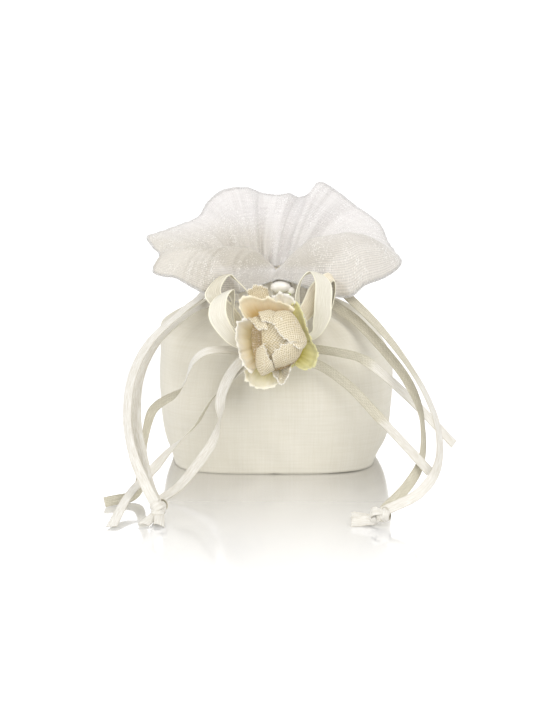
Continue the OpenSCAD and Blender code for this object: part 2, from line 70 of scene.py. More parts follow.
def spline(points, steps, closed=False):
    """A smooth line through the points, with that many steps between two of them."""
    points = np.asarray(points, float)
    if closed:
        padded = np.vstack([points[-1:], points, points[:2]])
    else:
        padded = np.vstack([2 * points[0] - points[1], points, 2 * points[-1] - points[-2]])
    rows = []
    for i in range(len(padded) - 3):
        a, b, c, d = padded[i:i + 4]
        for t in np.arange(steps) / steps:
            rows.append(0.5 * (2 * b + (c - a) * t + (2 * a - 5 * b + 4 * c - d) * t ** 2
                               + (3 * b - a - 3 * c + d) * t ** 3))
    if not closed:
        rows.append(points[-1])
    return np.array(rows)


def travelled(points):
    """How far along the line each point lies."""
    return np.concatenate([[0], np.cumsum(np.linalg.norm(np.diff(points, axis=0), axis=1))])


def read_off(at, along, line):
    """The line's columns at other distances along it."""
    return np.stack([np.interp(at, along, column) for column in np.asarray(line).T], axis=-1)


def even(points, count, closed=False):
    """The same line with its points evenly spaced along it."""
    line = np.vstack([points, points[:1]]) if closed else points
    along = travelled(line[:, :3])
    return read_off(np.linspace(0, along[-1], count, endpoint=not closed), along, line)


def length_of(points):
    return float(np.linalg.norm(np.diff(points, axis=0), axis=1).sum())


def turn_gap(turns, place):
    """The shortest way round from a place to each turn, in turns."""
    return (turns - place + 0.5) % 1 - 0.5


def hump(gap, width):
    """A smooth hump from 1 at its middle to nothing at a few widths away."""
    return np.exp(-(gap / width) ** 2)


def fold(gap, width, hollow, beside):
    """A hump with a hollow on each side."""
    return hump(gap, width) - hollow * hump(np.abs(gap) - beside * width, width)


def waves(turn, seed, count, lowest, highest):
    """Smooth random waves round the pouch, about -1 to 1, the same each run."""
    rng = np.random.default_rng(seed)
    rates = rng.integers(lowest, highest + 1, count)
    phases = rng.uniform(0, TAU, count)
    sizes = rng.uniform(0.4, 1, count)
    return sum(s * np.sin(TAU * r * turn + p) for r, p, s in zip(rates, phases, sizes)) / sizes.sum() * 1.6


def put(name, data):
    """A new object in the scene."""
    made = bpy.data.objects.new(name, data)
    bpy.context.scene.collection.objects.link(made)
    return made


def mesh_piece(name, points, faces, uv, material):
    """A mesh piece at the origin from points in millimetres, with a UV map in millimetres."""
    mesh = bpy.data.meshes.new(name)
    mesh.from_pydata((np.asarray(points, float) * MM).tolist(), [], [list(f) for f in faces])
    if uv is not None:
        layer = mesh.uv_layers.new(name="cloth")
        index = np.zeros(len(mesh.loops), int)
        mesh.loops.foreach_get("vertex_index", index)
        layer.data.foreach_set("uv", np.asarray(uv, float)[index].ravel())
    mesh.polygons.foreach_set("use_smooth", [True] * len(mesh.polygons))
    mesh.update()
    mesh.materials.append(material)
    return put(name, mesh)


def write_values(piece, name, values):
    """Gives each of a mesh's points a number that its material reads."""
    piece.data.attributes.new(name, "FLOAT", "POINT").data.foreach_set("value", values)


def grid_faces(rows, columns, closed=False, flip=False):
    """Four-cornered faces of a grid whose rows follow each other."""
    faces = []
    for i in range(rows - 1):
        for j in range(columns if closed else columns - 1):
            k = (j + 1) % columns
            face = (i * columns + j, i * columns + k, (i + 1) * columns + k, (i + 1) * columns + j)
            faces.append(face[::-1] if flip else face)
    return faces


def tube_faces(rings, around):
    """The faces of a tube of rings, with a cap at each end."""
    last = (rings - 1) * around
    return grid_faces(rings, around, closed=True) + [tuple(range(around))[::-1],
                                                     tuple(last + k for k in range(around))]


def weld_seam(piece):
    """Joins points that lie on each other, and keeps the UV map."""
    work = bmesh.new()
    work.from_mesh(piece.data)
    bmesh.ops.remove_doubles(work, verts=work.verts, dist=1e-6)
    work.to_mesh(piece.data)
    work.free()


def sheet_piece(name, grid, material, thickness, closed=True, flip=False):
    """A piece of cloth from a grid of points, given a thickness, with its UV map along the threads."""
    ring = np.concatenate([grid, grid[:, :1]], axis=1) if closed else grid
    across = np.linalg.norm(np.diff(ring, axis=1), axis=2).max(axis=0)
    up = np.linalg.norm(np.diff(grid, axis=0), axis=2).mean(axis=1)
    u, v = (np.concatenate([[0], np.cumsum(steps)]) for steps in (across, up))
    uv = np.stack(np.meshgrid(u, v), axis=2).reshape(-1, 2)
    faces = grid_faces(len(grid), ring.shape[1], flip=flip)
    piece = mesh_piece(name, ring.reshape(-1, 3), faces, uv, material)
    if closed:
        weld_seam(piece)
    wall = piece.modifiers.new("thickness", "SOLIDIFY")
    wall.thickness = thickness * MM
    wall.offset = 0
    wall.use_even_offset = False
    return piece


def dress(piece, body, replaced):
    """Hangs a piece on its body's empty, and hides the CAD nodes it stands for."""
    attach(piece, body)
    if replaced:
        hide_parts(*replaced)
    return piece


# ---- Materials ------------------------------------------------------------------------------------

def tone(red, green, blue):
    """A colour as it looks on a screen, from 0 to 1, in the linear values that a shader takes."""
    return tuple(c / 12.92 if c <= 0.04045 else ((c + 0.055) / 1.055) ** 2.4
                 for c in (red, green, blue)) + (1,)


class Nodes:
    """Adds nodes to a tree and links them, in one call each."""

    def __init__(self, tree):
        self.tree = tree

    def add(self, kind, inputs=None, **settings):
        node = self.tree.nodes.new(kind)
        for name, value in settings.items():
            setattr(node, name, value)
        for name, value in (inputs or {}).items():
            if isinstance(value, bpy.types.NodeSocket):
                self.tree.links.new(value, node.inputs[name])
            else:
                node.inputs[name].default_value = value
        return node

    def first(self, kind, inputs, **settings):
        """The first output of a new node."""
        return self.add(kind, inputs, **settings).outputs[0]

    def math(self, operation, a, b=0.0, clamp=False):
        return self.first("ShaderNodeMath", {0: a, 1: b}, operation=operation, use_clamp=clamp)

    def times(self, a, b):
        return self.math("MULTIPLY", a, b)

    def plus(self, a, b, clamp=False):
        return self.math("ADD", a, b, clamp)

    def minus(self, a, b, clamp=False):
        return self.math("SUBTRACT", a, b, clamp)

    def mix(self, share, a, b):
        return self.add("ShaderNodeMix", {0: share, 6: a, 7: b}, data_type="RGBA").outputs[2]

    def spread(self, value, from_low, from_high, to_low=0, to_high=1):
        return self.first("ShaderNodeMapRange", {"Value": value, "From Min": from_low, "From Max": from_high,
                                                 "To Min": to_low, "To Max": to_high})

    def noise(self, place, scale, detail=2.0, rough=0.5):
        return self.first("ShaderNodeTexNoise", {"Vector": place, "Scale": scale, "Detail": detail,
                                                 "Roughness": rough})

    def stretch(self, place, sizes):
        return self.first("ShaderNodeVectorMath", {0: place, 1: sizes}, operation="MULTIPLY")

    def scaled(self, place, scale):
        return self.first("ShaderNodeVectorMath", {0: place, "Scale": scale}, operation="SCALE")

    def turned(self, place, degrees):
        return self.first("ShaderNodeVectorRotate", {"Vector": place, "Angle": math.radians(degrees)},
                          rotation_type="Z_AXIS")

    def axes(self, place):
        return self.add("ShaderNodeSeparateXYZ", {0: place}).outputs

    def value_of(self, name):
        """The number that write_values has put on the mesh under that name."""
        return self.add("ShaderNodeAttribute", attribute_name=name).outputs["Fac"]

    def cloth(self, place, threads, unevenness):
        return self.add("ShaderNodeGroup", {"Position": place, "Threads per mm": threads,
                                            "Unevenness": unevenness}, node_tree=WEAVE).outputs

    def flecks(self, place):
        return self.first("ShaderNodeGroup", {"Position": place, "Size": 0.3}, node_tree=GLINT)

    def visible(self):
        """1 for rays whose light is seen straight or in a mirror or through something, or else 0."""
        rays = self.add("ShaderNodeLightPath").outputs
        return self.math("MAXIMUM", self.math("MAXIMUM", rays["Is Camera Ray"], rays["Is Glossy Ray"]),
                         rays["Is Transmission Ray"])


def start_group(name, numbers, results):
    """A new node group that takes a position in millimetres and some numbers, and gives numbers."""
    tree = bpy.data.node_groups.new(name, "ShaderNodeTree")
    tree.interface.new_socket(name="Position", in_out="INPUT", socket_type="NodeSocketVector")
    for label, value in numbers.items():
        tree.interface.new_socket(name=label, in_out="INPUT",
                                  socket_type="NodeSocketFloat").default_value = value
    for label in results:
        tree.interface.new_socket(name=label, in_out="OUTPUT", socket_type="NodeSocketFloat")
    n = Nodes(tree)
    return n, n.add("NodeGroupInput").outputs


def weave_group():
    """Plain weave: threads over and under each other, each a little uneven."""
    n, given = start_group("weave", {"Threads per mm": 2.5, "Unevenness": 0.5}, ("Height", "Slub", "Gap"))
    place = n.axes(given["Position"])
    heights, slubs, rounds = [], [], []
    for axis, sizes in (("X", (0.9, 0.04, 1)), ("Y", (0.04, 0.9, 1))):
        slub = n.noise(n.stretch(given["Position"], sizes), 1.6, 3.0, 0.65)
        shift = n.times(n.minus(slub, 0.5), given["Unevenness"])
        thread = n.times(place[axis], given["Threads per mm"])
        heights.append(n.math("ABSOLUTE", n.math("SINE", n.times(n.plus(thread, shift), math.pi))))
        slubs.append(slub)
        rounds.append(n.math("SINE", n.times(thread, math.pi)))
    picked = n.spread(n.times(*rounds), -0.3, 0.3)
    both = n.plus(n.times(heights[0], picked), n.times(heights[1], n.minus(1.0, picked)))
    n.add("NodeGroupOutput", {"Height": both, "Slub": n.times(n.plus(*slubs), 0.5),
                              "Gap": n.minus(1.0, n.math("MAXIMUM", *heights), clamp=True)})
    return n.tree


def glint_group():
    """Small bright flecks, as where single threads catch the light."""
    n, given = start_group("glint", {"Size": 0.35}, ("Bright",))
    small = n.scaled(given["Position"], n.math("DIVIDE", 1.0, given["Size"]))
    cells = n.first("ShaderNodeTexWhiteNoise", {"Vector": n.first(
        "ShaderNodeVectorMath", {0: small}, operation="FLOOR")})
    patches = n.spread(n.noise(given["Position"], 0.12), 0.4, 0.65, 0.15, 1)
    n.add("NodeGroupOutput", {"Bright": n.times(n.spread(cells, 0.72, 1.0), patches)})
    return n.tree


def fibre_group():
    """Fine threads along a ribbon: X runs across it and Y along it."""
    n, given = start_group("fibre", {"Width": 3.0}, ("Height", "Streak", "Edge"))
    place = n.axes(given["Position"])
    streak = n.noise(n.stretch(given["Position"], (6.0, 0.25, 1.0)), 1.0, 4.0, 0.7)
    ribs = n.math("SINE", n.times(place["X"], TAU * 4))
    picks = n.math("SINE", n.times(place["Y"], TAU * 3.2))
    edge = n.spread(n.math("DIVIDE", n.math("ABSOLUTE", place["X"]), given["Width"]), 0.40, 0.455)
    height = n.plus(n.times(ribs, 0.5), n.times(picks, n.plus(n.times(edge, 1.2), 0.15)))
    n.add("NodeGroupOutput", {"Height": height, "Streak": streak, "Edge": edge})
    return n.tree


WEAVE, GLINT, FIBRE = weave_group(), glint_group(), fibre_group()
LOOP_WIDTH = 4.8
WHITE = tone(1, 1, 1)
# The woven edge of the bow's ribbon, and the light and dark tones of the satin's dull side, which are also
# painted on stretches of its shiny side as painted shade.
BOW_EDGE = tone(1, 0.985, 0.91)
DULL_LIGHT, DULL_DARK = tone(0.93, 0.91, 0.845), tone(0.74, 0.715, 0.63)


def start_material(name):
    material = bpy.data.materials.new(name)
    material.use_nodes = True
    material.node_tree.nodes.clear()
    return material, Nodes(material.node_tree)


def make_material(name, kind, *tones, **others):
    material, n = start_material(name)
    kind(n, *tones, **others)
    return material


def end_material(n, looks, height, depth):
    """A Principled shader with those inputs, and a fine relief of that depth in millimetres."""
    relief = n.first("ShaderNodeBump", {"Height": height, "Distance": depth * MM, "Strength": 0.5})
    shader = n.first("ShaderNodeBsdfPrincipled", {**looks, "Normal": relief})
    n.add("ShaderNodeOutputMaterial", {0: shader})


def cloth_place(n):
    """The piece's own UV map, in millimetres."""
    return n.add("ShaderNodeUVMap", uv_map="cloth").outputs["UV"]


def object_place(n):
    """Object coordinates in millimetres."""
    return n.scaled(n.add("ShaderNodeTexCoord").outputs["Object"], 1000.0)


def linen_material(n, light, dark, threads=2.2, rough=0.85):
    """Fine plain linen: uneven threads, a few slubs and a faint mottle."""
    place = cloth_place(n)
    cloth = n.cloth(place, threads, 0.7)
    share = n.plus(n.times(n.spread(cloth["Slub"], 0.35, 0.65), 0.7),
                   n.times(n.spread(n.noise(place, 0.08), 0.35, 0.65), 0.2))
    share = n.minus(share, n.times(cloth["Gap"], 0.5), clamp=True)
    end_material(n, {"Base Color": n.mix(share, dark, light), "Roughness": rough, "Sheen Weight": 0.15},
                 n.plus(cloth["Height"], cloth["Slub"]), 0.05)


def organza_material(n, light, dark, layers_and_shade, cover, place_of=cloth_place):
    """Sheer cloth: fine threads with open gaps, and flecks where single threads catch the light.

    It turns towards a darker, warmer tone where the piece's depth value is high: where more layers lie behind
    it, and as painted shade where its folds lie in shade.
    """
    place = place_of(n)
    cloth = n.cloth(place, 2.8, 0.9)
    flecks = n.flecks(place)
    base = n.mix(n.value_of("depth"), n.mix(n.spread(cloth["Slub"], 0.38, 0.62), dark, light), layers_and_shade)
    alpha = n.plus(n.minus(cover, n.times(cloth["Gap"], 0.5)), n.times(flecks, 0.3), clamp=True)
    end_material(n, {"Base Color": n.mix(n.times(flecks, 0.55), base, WHITE), "Alpha": alpha,
                     "Roughness": n.spread(flecks, 0, 1, 0.6, 0.3), "Sheen Weight": 0.2},
                 n.plus(cloth["Height"], flecks), 0.06)


def satin_material(n, light, dark, width=3.0, cover=1.0, rim=None):
    """Satin ribbon: a shiny side of smooth long threads, a dull woven back, and a woven edge; where its back
    value is high, the shiny side too takes the dull tones as painted shade.
    """
    place = cloth_place(n)
    ribbon = n.add("ShaderNodeGroup", {"Position": place, "Width": width}, node_tree=FIBRE).outputs
    back = n.value_of("back")
    cloth = n.cloth(n.turned(place, 58), 1.3, 0.8)
    share = n.spread(ribbon["Streak"], 0.35, 0.7)
    dull = n.mix(n.times(cloth["Gap"], 0.9), n.mix(share, DULL_DARK, DULL_LIGHT), DULL_DARK)
    base = n.mix(back, n.mix(share, dark, light), dull)
    # The plain satin's edge turns to the dark tone, partly a woven edge and partly painted shade; the bow's
    # ribbons turn to the rim tone of their woven edge.
    edged = n.mix(n.times(ribbon["Edge"], 0.9 if rim else 0.4), base, rim or n.mix(back, dark, DULL_DARK))
    rough = n.plus(n.spread(ribbon["Streak"], 0.3, 0.7, 0.28, 0.42), n.times(ribbon["Edge"], 0.25))
    looks = {"Base Color": edged, "Roughness": n.plus(rough, n.times(back, 0.3), clamp=True),
             "Anisotropic": 0.5, "Sheen Weight": 0.1, "Specular IOR Level": 0.6}
    if cover < 1:
        looks["Alpha"] = n.plus(n.spread(ribbon["Streak"], 0.3, 0.7, cover - 0.12, cover + 0.12),
                                n.times(ribbon["Edge"], 0.5), clamp=True)
    end_material(n, looks, ribbon["Height"], 0.03)


def petal_material(n, light, deep):
    """Petal cloth: pale at its rim and darker towards its foot, a painted shade of the rose's hollow, with
    soft veins.
    """
    place = cloth_place(n)
    veins = n.noise(n.stretch(place, (1.2, 0.15, 1)), 1.0, 3.0)
    share = n.plus(n.math("POWER", n.value_of("depth"), 1.4), n.times(n.minus(veins, 0.5), 0.35), clamp=True)
    end_material(n, {"Base Color": n.mix(share, light, deep), "Roughness": 0.5, "Sheen Weight": 0.25,
                     "Subsurface Weight": 0.25, "Subsurface Radius": (0.9, 0.8, 0.5),
                     "Subsurface Scale": 0.002}, n.plus(n.cloth(place, 3.0, 0.6)["Height"], veins), 0.03)


def net_material(n, light, dark):
    """Fine net: crossed threads with open meshes between them, a few glints, painted shade towards the
    petal's foot and a painted highlight along its rim.
    """
    place = n.turned(cloth_place(n), 42)
    axes = n.axes(place)
    bars = [n.math("ABSOLUTE", n.math("SINE", n.times(axes[a], math.pi / 0.72))) for a in ("X", "Y")]
    thread = n.spread(n.math("MINIMUM", *bars), 0.28, 0.5, 1, 0)
    flecks = n.flecks(place)
    depth = n.value_of("depth")
    # Painted shade: the net darkens towards the petal's foot with the depth value.
    shade = n.mix(n.times(depth, 0.6), n.mix(n.spread(thread, 0, 1, 0.25, 1), dark, light), dark)
    # A painted highlight along the petal's rim, where the depth value is near nothing.
    edge = n.times(n.spread(depth, 0.0, 0.06, 1, 0), n.spread(depth, -0.01, 0.001))
    lit = n.math("MAXIMUM", n.times(flecks, 0.7), n.times(edge, 0.8))
    end_material(n, {"Base Color": n.mix(lit, shade, tone(1, 0.99, 0.96)), "Roughness": 0.5,
                     "Alpha": n.spread(thread, 0, 1, 0.8, 1.0), "Sheen Weight": 0.3},
                 n.plus(thread, flecks), 0.08)


def pearl_material(n):
    """Pearl: warm white with faint cloudy colour under a clear coat."""
    cloud = n.noise(object_place(n), 0.7, 3.0)
    end_material(n, {"Base Color": n.mix(cloud, tone(0.95, 0.925, 0.88), tone(1, 0.995, 0.985)),
                     "Roughness": n.spread(cloud, 0.3, 0.7, 0.12, 0.22), "Coat Weight": 0.8,
                     "Coat Roughness": 0.06, "Sheen Weight": 0.2}, cloud, 0.02)


def taped_wire_material(n):
    """Thin wire wrapped in green floral tape."""
    turns = n.add("ShaderNodeTexWave", {"Vector": object_place(n), "Scale": 0.8, "Distortion": 2.0,
                                       "Detail": 2.0}, bands_direction="Z").outputs["Fac"]
    end_material(n, {"Base Color": n.mix(turns, tone(0.62, 0.68, 0.40), tone(0.78, 0.82, 0.56)),
                     "Roughness": 0.6}, turns, 0.05)


def card_material(n):
    """Plain grey-white card with short fibres."""
    fibres = n.noise(object_place(n), 1.5, 5.0)
    end_material(n, {"Base Color": n.mix(fibres, tone(0.80, 0.79, 0.75), tone(0.90, 0.89, 0.86)),
                     "Roughness": n.spread(fibres, 0.3, 0.7, 0.8, 0.95)}, fibres, 0.05)


# Each row: a material's kind and name, its light and dark or rim and foot tones, and its other inputs.
COAT_ROWS = (
    (linen_material, "linen", (0.92, 0.905, 0.86), (0.88, 0.86, 0.80), {}),
    (linen_material, "lining_cloth", (0.92, 0.90, 0.84), (0.87, 0.84, 0.77), {"threads": 3.0, "rough": 0.75}),
    # The organza's layers_and_shade tone is a painted shade as well as the tone of layers lying behind.
    (organza_material, "organza", (0.975, 0.965, 0.96), (0.92, 0.905, 0.90),
     {"layers_and_shade": tone(0.885, 0.862, 0.82), "cover": 0.8}),
    # The casing's organza is a lighter copy of the frill's, a painted light that offsets the shade under the
    # flop.
    (organza_material, "casing_organza_painted_light", (1, 0.985, 0.95), (0.95, 0.925, 0.87),
     {"layers_and_shade": tone(0.9, 0.87, 0.8), "cover": 0.95}),
    (organza_material, "overlock", (1, 1, 1), (0.96, 0.95, 0.94),
     {"layers_and_shade": WHITE, "cover": 0.7, "place_of": object_place}),
    (satin_material, "satin", (0.98, 0.975, 0.96), (0.83, 0.805, 0.745), {}),
    (satin_material, "bow_satin", (0.95, 0.935, 0.89), (0.865, 0.845, 0.775),
     {"width": LOOP_WIDTH, "rim": BOW_EDGE}),
    (satin_material, "sheer_ribbon", (1, 0.98, 0.92), (0.95, 0.92, 0.83),
     {"width": LOOP_WIDTH, "cover": 0.6, "rim": BOW_EDGE}),
    # The right back loop's sheer ribbon, tinted peach all over: a painted reflection of warm glints.
    (satin_material, "peach_reflection_ribbon", (1, 0.97, 0.90), (0.95, 0.90, 0.79),
     {"width": LOOP_WIDTH, "cover": 0.9, "rim": BOW_EDGE}),
    # The petals' foot tones are painted shade towards the rose's hollow.
    (petal_material, "petal_satin", (1, 0.98, 0.92), (0.96, 0.87, 0.64), {}),
    (petal_material, "petal_pale", (0.99, 0.975, 0.93), (0.93, 0.90, 0.80), {}),
    (petal_material, "petal_green_foot", (0.99, 0.965, 0.88), (0.83, 0.78, 0.50), {}),
    (petal_material, "petal_peach", (1, 0.955, 0.83), (0.83, 0.68, 0.42), {}),
    (petal_material, "green_cloth", (0.92, 0.90, 0.66), (0.72, 0.67, 0.27), {}),
    # The rose's heart in brown-beige, painted shade of its recess.
    (petal_material, "heart_cloth_painted_shade", (0.88, 0.80, 0.66), (0.62, 0.46, 0.24), {}),
    (net_material, "lace", (0.975, 0.945, 0.865), (0.79, 0.71, 0.52), {}),
    # A lighter copy of the lace, a painted light for the lace tip that lies in the shadow of the petals above
    # it.
    (net_material, "lace_light", (1, 0.99, 0.95), (0.96, 0.92, 0.81), {}),
    # A darker copy of the lace, painted shade for the inner petals deep in the rose.
    (net_material, "lace_shade", (0.80, 0.72, 0.58), (0.70, 0.60, 0.42), {}))
COATS = {name: make_material(name, kind, tone(*light), tone(*dark), **others)
         for kind, name, light, dark, others in COAT_ROWS}
for name, kind in (("pearl", pearl_material), ("taped_wire", taped_wire_material), ("card", card_material)):
    COATS[name] = make_material(name, kind)


# ---- Camera ---------------------------------------------------------------------------------------

def make_camera():
    """A long lens a metre away, looking a little down on the pouch."""
    target = Vector((-0.0015, 0, 0.0295))
    distance, elevation = 1.0, math.radians(15)
    data = bpy.data.cameras.new("camera")
    data.lens = 222.2
    data.sensor_width = 36
    data.sensor_fit = "HORIZONTAL"
    data.clip_start = 0.01
    camera = put("camera", data)
    camera.location = target + distance * Vector((0, -math.cos(elevation), math.sin(elevation)))
    camera.rotation_euler = (math.pi / 2 - elevation, 0, 0)
    bpy.context.scene.camera = camera


make_camera()


# ---- Ribbons --------------------------------------------------------------------------------------

RIBBON_WIDTH = 3.0
RIBBON_THICKNESS = 0.2
TABLE_GAP = 0.03
HELD = (0, -1, 0)
TURNED = (0, 1, 0)
LAID = (0, 0, 1)

# Each route repeats the ribbon's points in part.scad, in millimetres. The faces say which way the
# ribbon's shiny side looks at a share of its length.
DRAWSTRINGS = {
    "left_drawstring_front": (
        [(-1, -5.7, 54.7), (-13.1, -5.7, 54.7), (-18, -8, 50), (-26, -12.5, 46.5), (-35, -21.5, 40),
         (-39.5, -32, 32), (-40, -42.5, 23), (-38, -51, 15), (-36, -58, 8.5), (-33.5, -62.5, 4)],
        [(0, HELD), (0.15, HELD), (0.24, (-0.3, -0.3, 0.9)), (0.38, (-0.35, -0.25, 0.9)),
         (0.55, (-0.5, -0.7, 0.4)), (0.7, (-0.25, -0.9, 0.3)), (0.85, (-0.4, -0.85, 0.3)),
         (1, (0.2, -0.9, 0.4))]),
    "left_drawstring_back": (
        [(-1, 5.7, 54.7), (-13.1, 5.7, 54.7), (-18, 3, 53.5), (-22, -8, 51), (-27, -14.5, 48.5),
         (-36.5, -24, 41.5), (-41.5, -35, 33.5), (-42.5, -45, 23.5), (-40.5, -53, 15.5),
         (-37, -60, 9), (-34, -64, 4.5)],
        [(0, HELD), (0.12, HELD), (0.22, (-0.2, -0.2, 0.95)), (0.4, (-0.3, -0.25, 0.9)),
         (0.6, (-0.5, -0.8, 0.3)), (0.8, (-0.6, -0.7, 0.3)), (0.9, (-0.2, -0.9, 0.3)),
         (1, (-0.2, -0.9, 0.4))]),
    "right_drawstring_front": (
        [(1, -5.7, 51.4), (13.1, -5.7, 51.4), (16.5, -7.5, 49), (24, -13.5, 45), (32, -23, 38.5),
         (38.5, -34, 32), (42, -44, 24.5), (42, -53.5, 15.5), (38, -61, 9.5), (30.5, -69, 4)],
        [(0, TURNED), (0.15, TURNED), (0.3, (0, 0.7, -0.7)), (0.55, (-0.3, 0.8, -0.5)),
         (0.68, (-0.85, 0.45, -0.2)), (0.8, (-0.8, 0.5, -0.3)), (0.9, (-0.2, 0.7, -0.6)),
         (1, (0, 0.7, -0.7))]),
    "right_drawstring_back": (
        [(1, 5.7, 51.4), (13.1, 5.7, 51.4), (18, 2, 52), (22, -9.5, 51), (29.5, -18.5, 45.5),
         (37, -30, 38.5), (43, -41, 31), (46.5, -51.5, 23), (46, -61.5, 15), (40.5, -67, 8.5),
         (30.5, -71, 4.5)],
        [(0, HELD), (0.12, HELD), (0.3, (0.3, -0.6, 0.7)), (0.52, (0.75, -0.6, 0.4)),
         (0.8, (0.75, -0.55, 0.35)), (0.9, (0.2, -0.8, 0.5)), (1, (0, -0.7, 0.7))]),
}
KNOT_Y = -21.72
# Each row: the loop's point, and the way and width across the ribbon there, in millimetres.
LOOPS = {
    "left_front_loop": [
        (-3.2, KNOT_Y - 1.8, 41.25, 0.4, 0, 1.4), (-8.5, -24.2, 40.2, 0.6, 0.2, 2.2),
        (-12.7, -25.5, 43, 2.6, 0, 2.8), (-16.2, -25, 48, 5.2, -0.4, 1.2),
        (-16.8, -23.5, 51.2, 5, -0.6, -0.2), (-15.8, -21.8, 54.2, 4, -1.2, 1.2),
        (-13.4, -19.8, 55.6, 2.8, -2.2, 1.6), (-12.4, -18.8, 53, 1.2, -4.2, 0.8),
        (-12.5, -19, 49, 0.8, -4.6, 0), (-11.5, -20, 44.5, 0.8, -3.6, 0),
        (-8.5, -21.5, 41.5, 0, -1.6, -1.2), (-3.2, KNOT_Y - 0.6, 41.25, 0, -0.5, -1.4)],
    "left_back_loop": [
        (-3.2, KNOT_Y + 0.6, 41.25, 0.2, 0, 1.4), (-8.5, -18, 42.5, 1.2, 0, 2.4),
        (-12, -17, 46.5, 3.8, -0.2, 2.2), (-15.5, -16.5, 50.5, 4.9, -0.4, 1.8),
        (-18.3, -15.5, 54, 4.8, -0.6, 1.2), (-16, -14.6, 58, 3.2, -2.2, 1),
        (-13.6, -14.2, 59.2, 1.8, -3.4, 0.8), (-11.9, -14.1, 57.9, 1, -4.4, 0.6),
        (-8.5, -14.5, 54.5, 0.8, -5, 0.4),
        (-5, -16, 48.5, 0.4, -4, 0), (-1.8, KNOT_Y + 1.4, 42.7, 0, -1.4, -0.6)],
    "right_front_loop": [
        (3.2, KNOT_Y - 1.8, 41.25, 0, 0, -1.5), (7.5, -23.5, 41.5, -0.3, -1.5, -2),
        (9, -24, 46, -0.6, -3.6, -0.6), (7, -23, 51, -0.8, -4.4, -0.6),
        (6.5, -21.5, 55.5, -1.2, -4.6, -0.8), (8, -20, 59.5, -1.6, -4, -0.8),
        (11.5, -19, 61, -3.4, -2, 1.2), (14, -19, 58, -4.8, -1, 1),
        (14, -20, 52, -5.1, -0.4, 0.4), (13.5, -20.5, 47, -4.8, 0, 0.2),
        (11, -21.5, 42.5, -1.6, 0, 1.6), (3.2, KNOT_Y - 0.6, 41.25, 0, 0, 1.5)],
    "right_back_loop": [
        (1.8, KNOT_Y + 1.4, 42.7, 1, 0, -1), (5.5, -18, 45, 2.6, 0, -2.2),
        (10, -17, 50, 4.4, 0, -2.4), (13, -15.5, 56, 4.6, 0, -1.6),
        (16.5, -14, 58.5, 1.6, -3, -1.8), (17.5, -14.5, 55, 0.4, -4.6, 0),
        (16.5, -15.5, 50, 0.2, -4.8, 0), (14.5, -17, 45.5, 0, -4.2, 0),
        (10, -18.5, 42.5, 0, -2, 0.8), (3.2, KNOT_Y + 0.6, 41.25, 0, -0.8, 1.2)],
}
TAILS = {
    "left_tail_outer": (
        [(-3.2, KNOT_Y + 1, 37.75), (-12, -22.5, 38.5), (-19.5, -27, 39.5), (-24, -28.5, 36.5),
         (-26.5, -28, 30), (-29.5, -27.5, 26.5), (-36, -28.5, 21.5), (-38.5, -37, 12),
         (-40, -46, 2.5), (-49, -52.5, 0.6)],
        [(0, HELD), (0.13, (0, -0.6, 0.8)), (0.22, (-0.2, -0.6, 0.8)), (0.3, (-0.85, -0.3, 0.5)),
         (0.38, (-0.95, 0.05, 0.3)), (0.45, (-0.5, 0.8, 0.2)), (0.54, (-0.3, 0.94, 0.15)),
         (0.66, (-0.85, 0.5, -0.2)), (0.76, (-0.7, 0.65, -0.4)), (0.88, (-0.3, 0.8, -0.5)),
         (1, (0.3, 0.8, -0.3))]),
    "left_tail_middle": (
        [(-3.2, KNOT_Y - 0.3, 37.75), (-9, -25, 34.5), (-18, -25, 25), (-23.5, -28, 17),
         (-30.5, -35, 12), (-36, -43, 7.5), (-42, -55, 4), (-46, -73, 0.6)],
        [(0, HELD), (0.12, (-0.5, -0.6, 0.6)), (0.22, (-0.7, 0.2, 0.67)), (0.33, (-0.62, 0.45, 0.59)),
         (0.42, (-0.7, 0.1, 0.67)), (0.5, (-0.6, -0.5, 0.6)), (0.58, (-0.3, -0.85, 0.4)),
         (0.8, (-0.3, -0.5, 0.8)), (1, LAID)]),
    "left_tail_inner": (
        [(-3.2, KNOT_Y - 1.6, 37.75), (-10.5, -25.8, 35.5), (-15.5, -26.5, 27), (-16.5, -27.5, 18.5),
         (-18.5, -30.5, 12.5), (-23, -37, 7.5), (-28, -43, 3), (-33, -47, 0.6)],
        [(0, HELD), (0.15, (-0.2, -0.9, 0.2)), (0.36, (0.1, -0.98, 0.1)), (0.45, (0.96, -0.2, 0.1)),
         (0.55, (0.6, -0.7, 0.4)), (0.7, (0.1, -0.75, 0.65)), (1, (-0.2, -0.5, 0.85))]),
    "right_tail_upper": (
        [(3.2, KNOT_Y + 0.6, 37.75), (9.5, -22.5, 39), (19, -25.5, 38.5), (26, -28, 37),
         (33.5, -28.5, 31), (42, -31.5, 23.5), (52, -37, 14)],
        [(0, HELD), (0.2, (0, -0.85, -0.3)), (0.38, (0, -0.85, -0.3)), (0.5, (0.3, -0.65, 0.6)),
         (0.8, (0.4, -0.65, 0.65)), (1, (0.5, -0.7, 0.6))]),
    "right_tail_lower": (
        [(3.2, KNOT_Y - 1, 37.75), (9.5, -24.5, 35.5), (14, -25, 34), (22, -27, 28.5),
         (30.5, -36, 21.5), (39, -53.5, 16.5), (44, -60, 12.5)],
        [(0, HELD), (0.2, (-0.3, -0.9, -0.1)), (0.48, (-0.5, -0.75, 0.2)), (0.6, (0.2, -0.65, 0.7)),
         (1, (0.2, -0.7, 0.7))]),
}


# The shares of a ribbon's length between which its shiny side goes over from painted shade in the
# dull side's tones to its own shiny look.
PAINTED_DULL_UNTIL = {"right_drawstring_back": (0.5, 0.62), "right_tail_upper": (0.41, 0.49),
              "right_tail_lower": (0.54, 0.62)}


# How far apart the rings of a ribbon's mesh lie, in millimetres.
RIBBON_STEP, LOOP_STEP = 0.6, 0.5


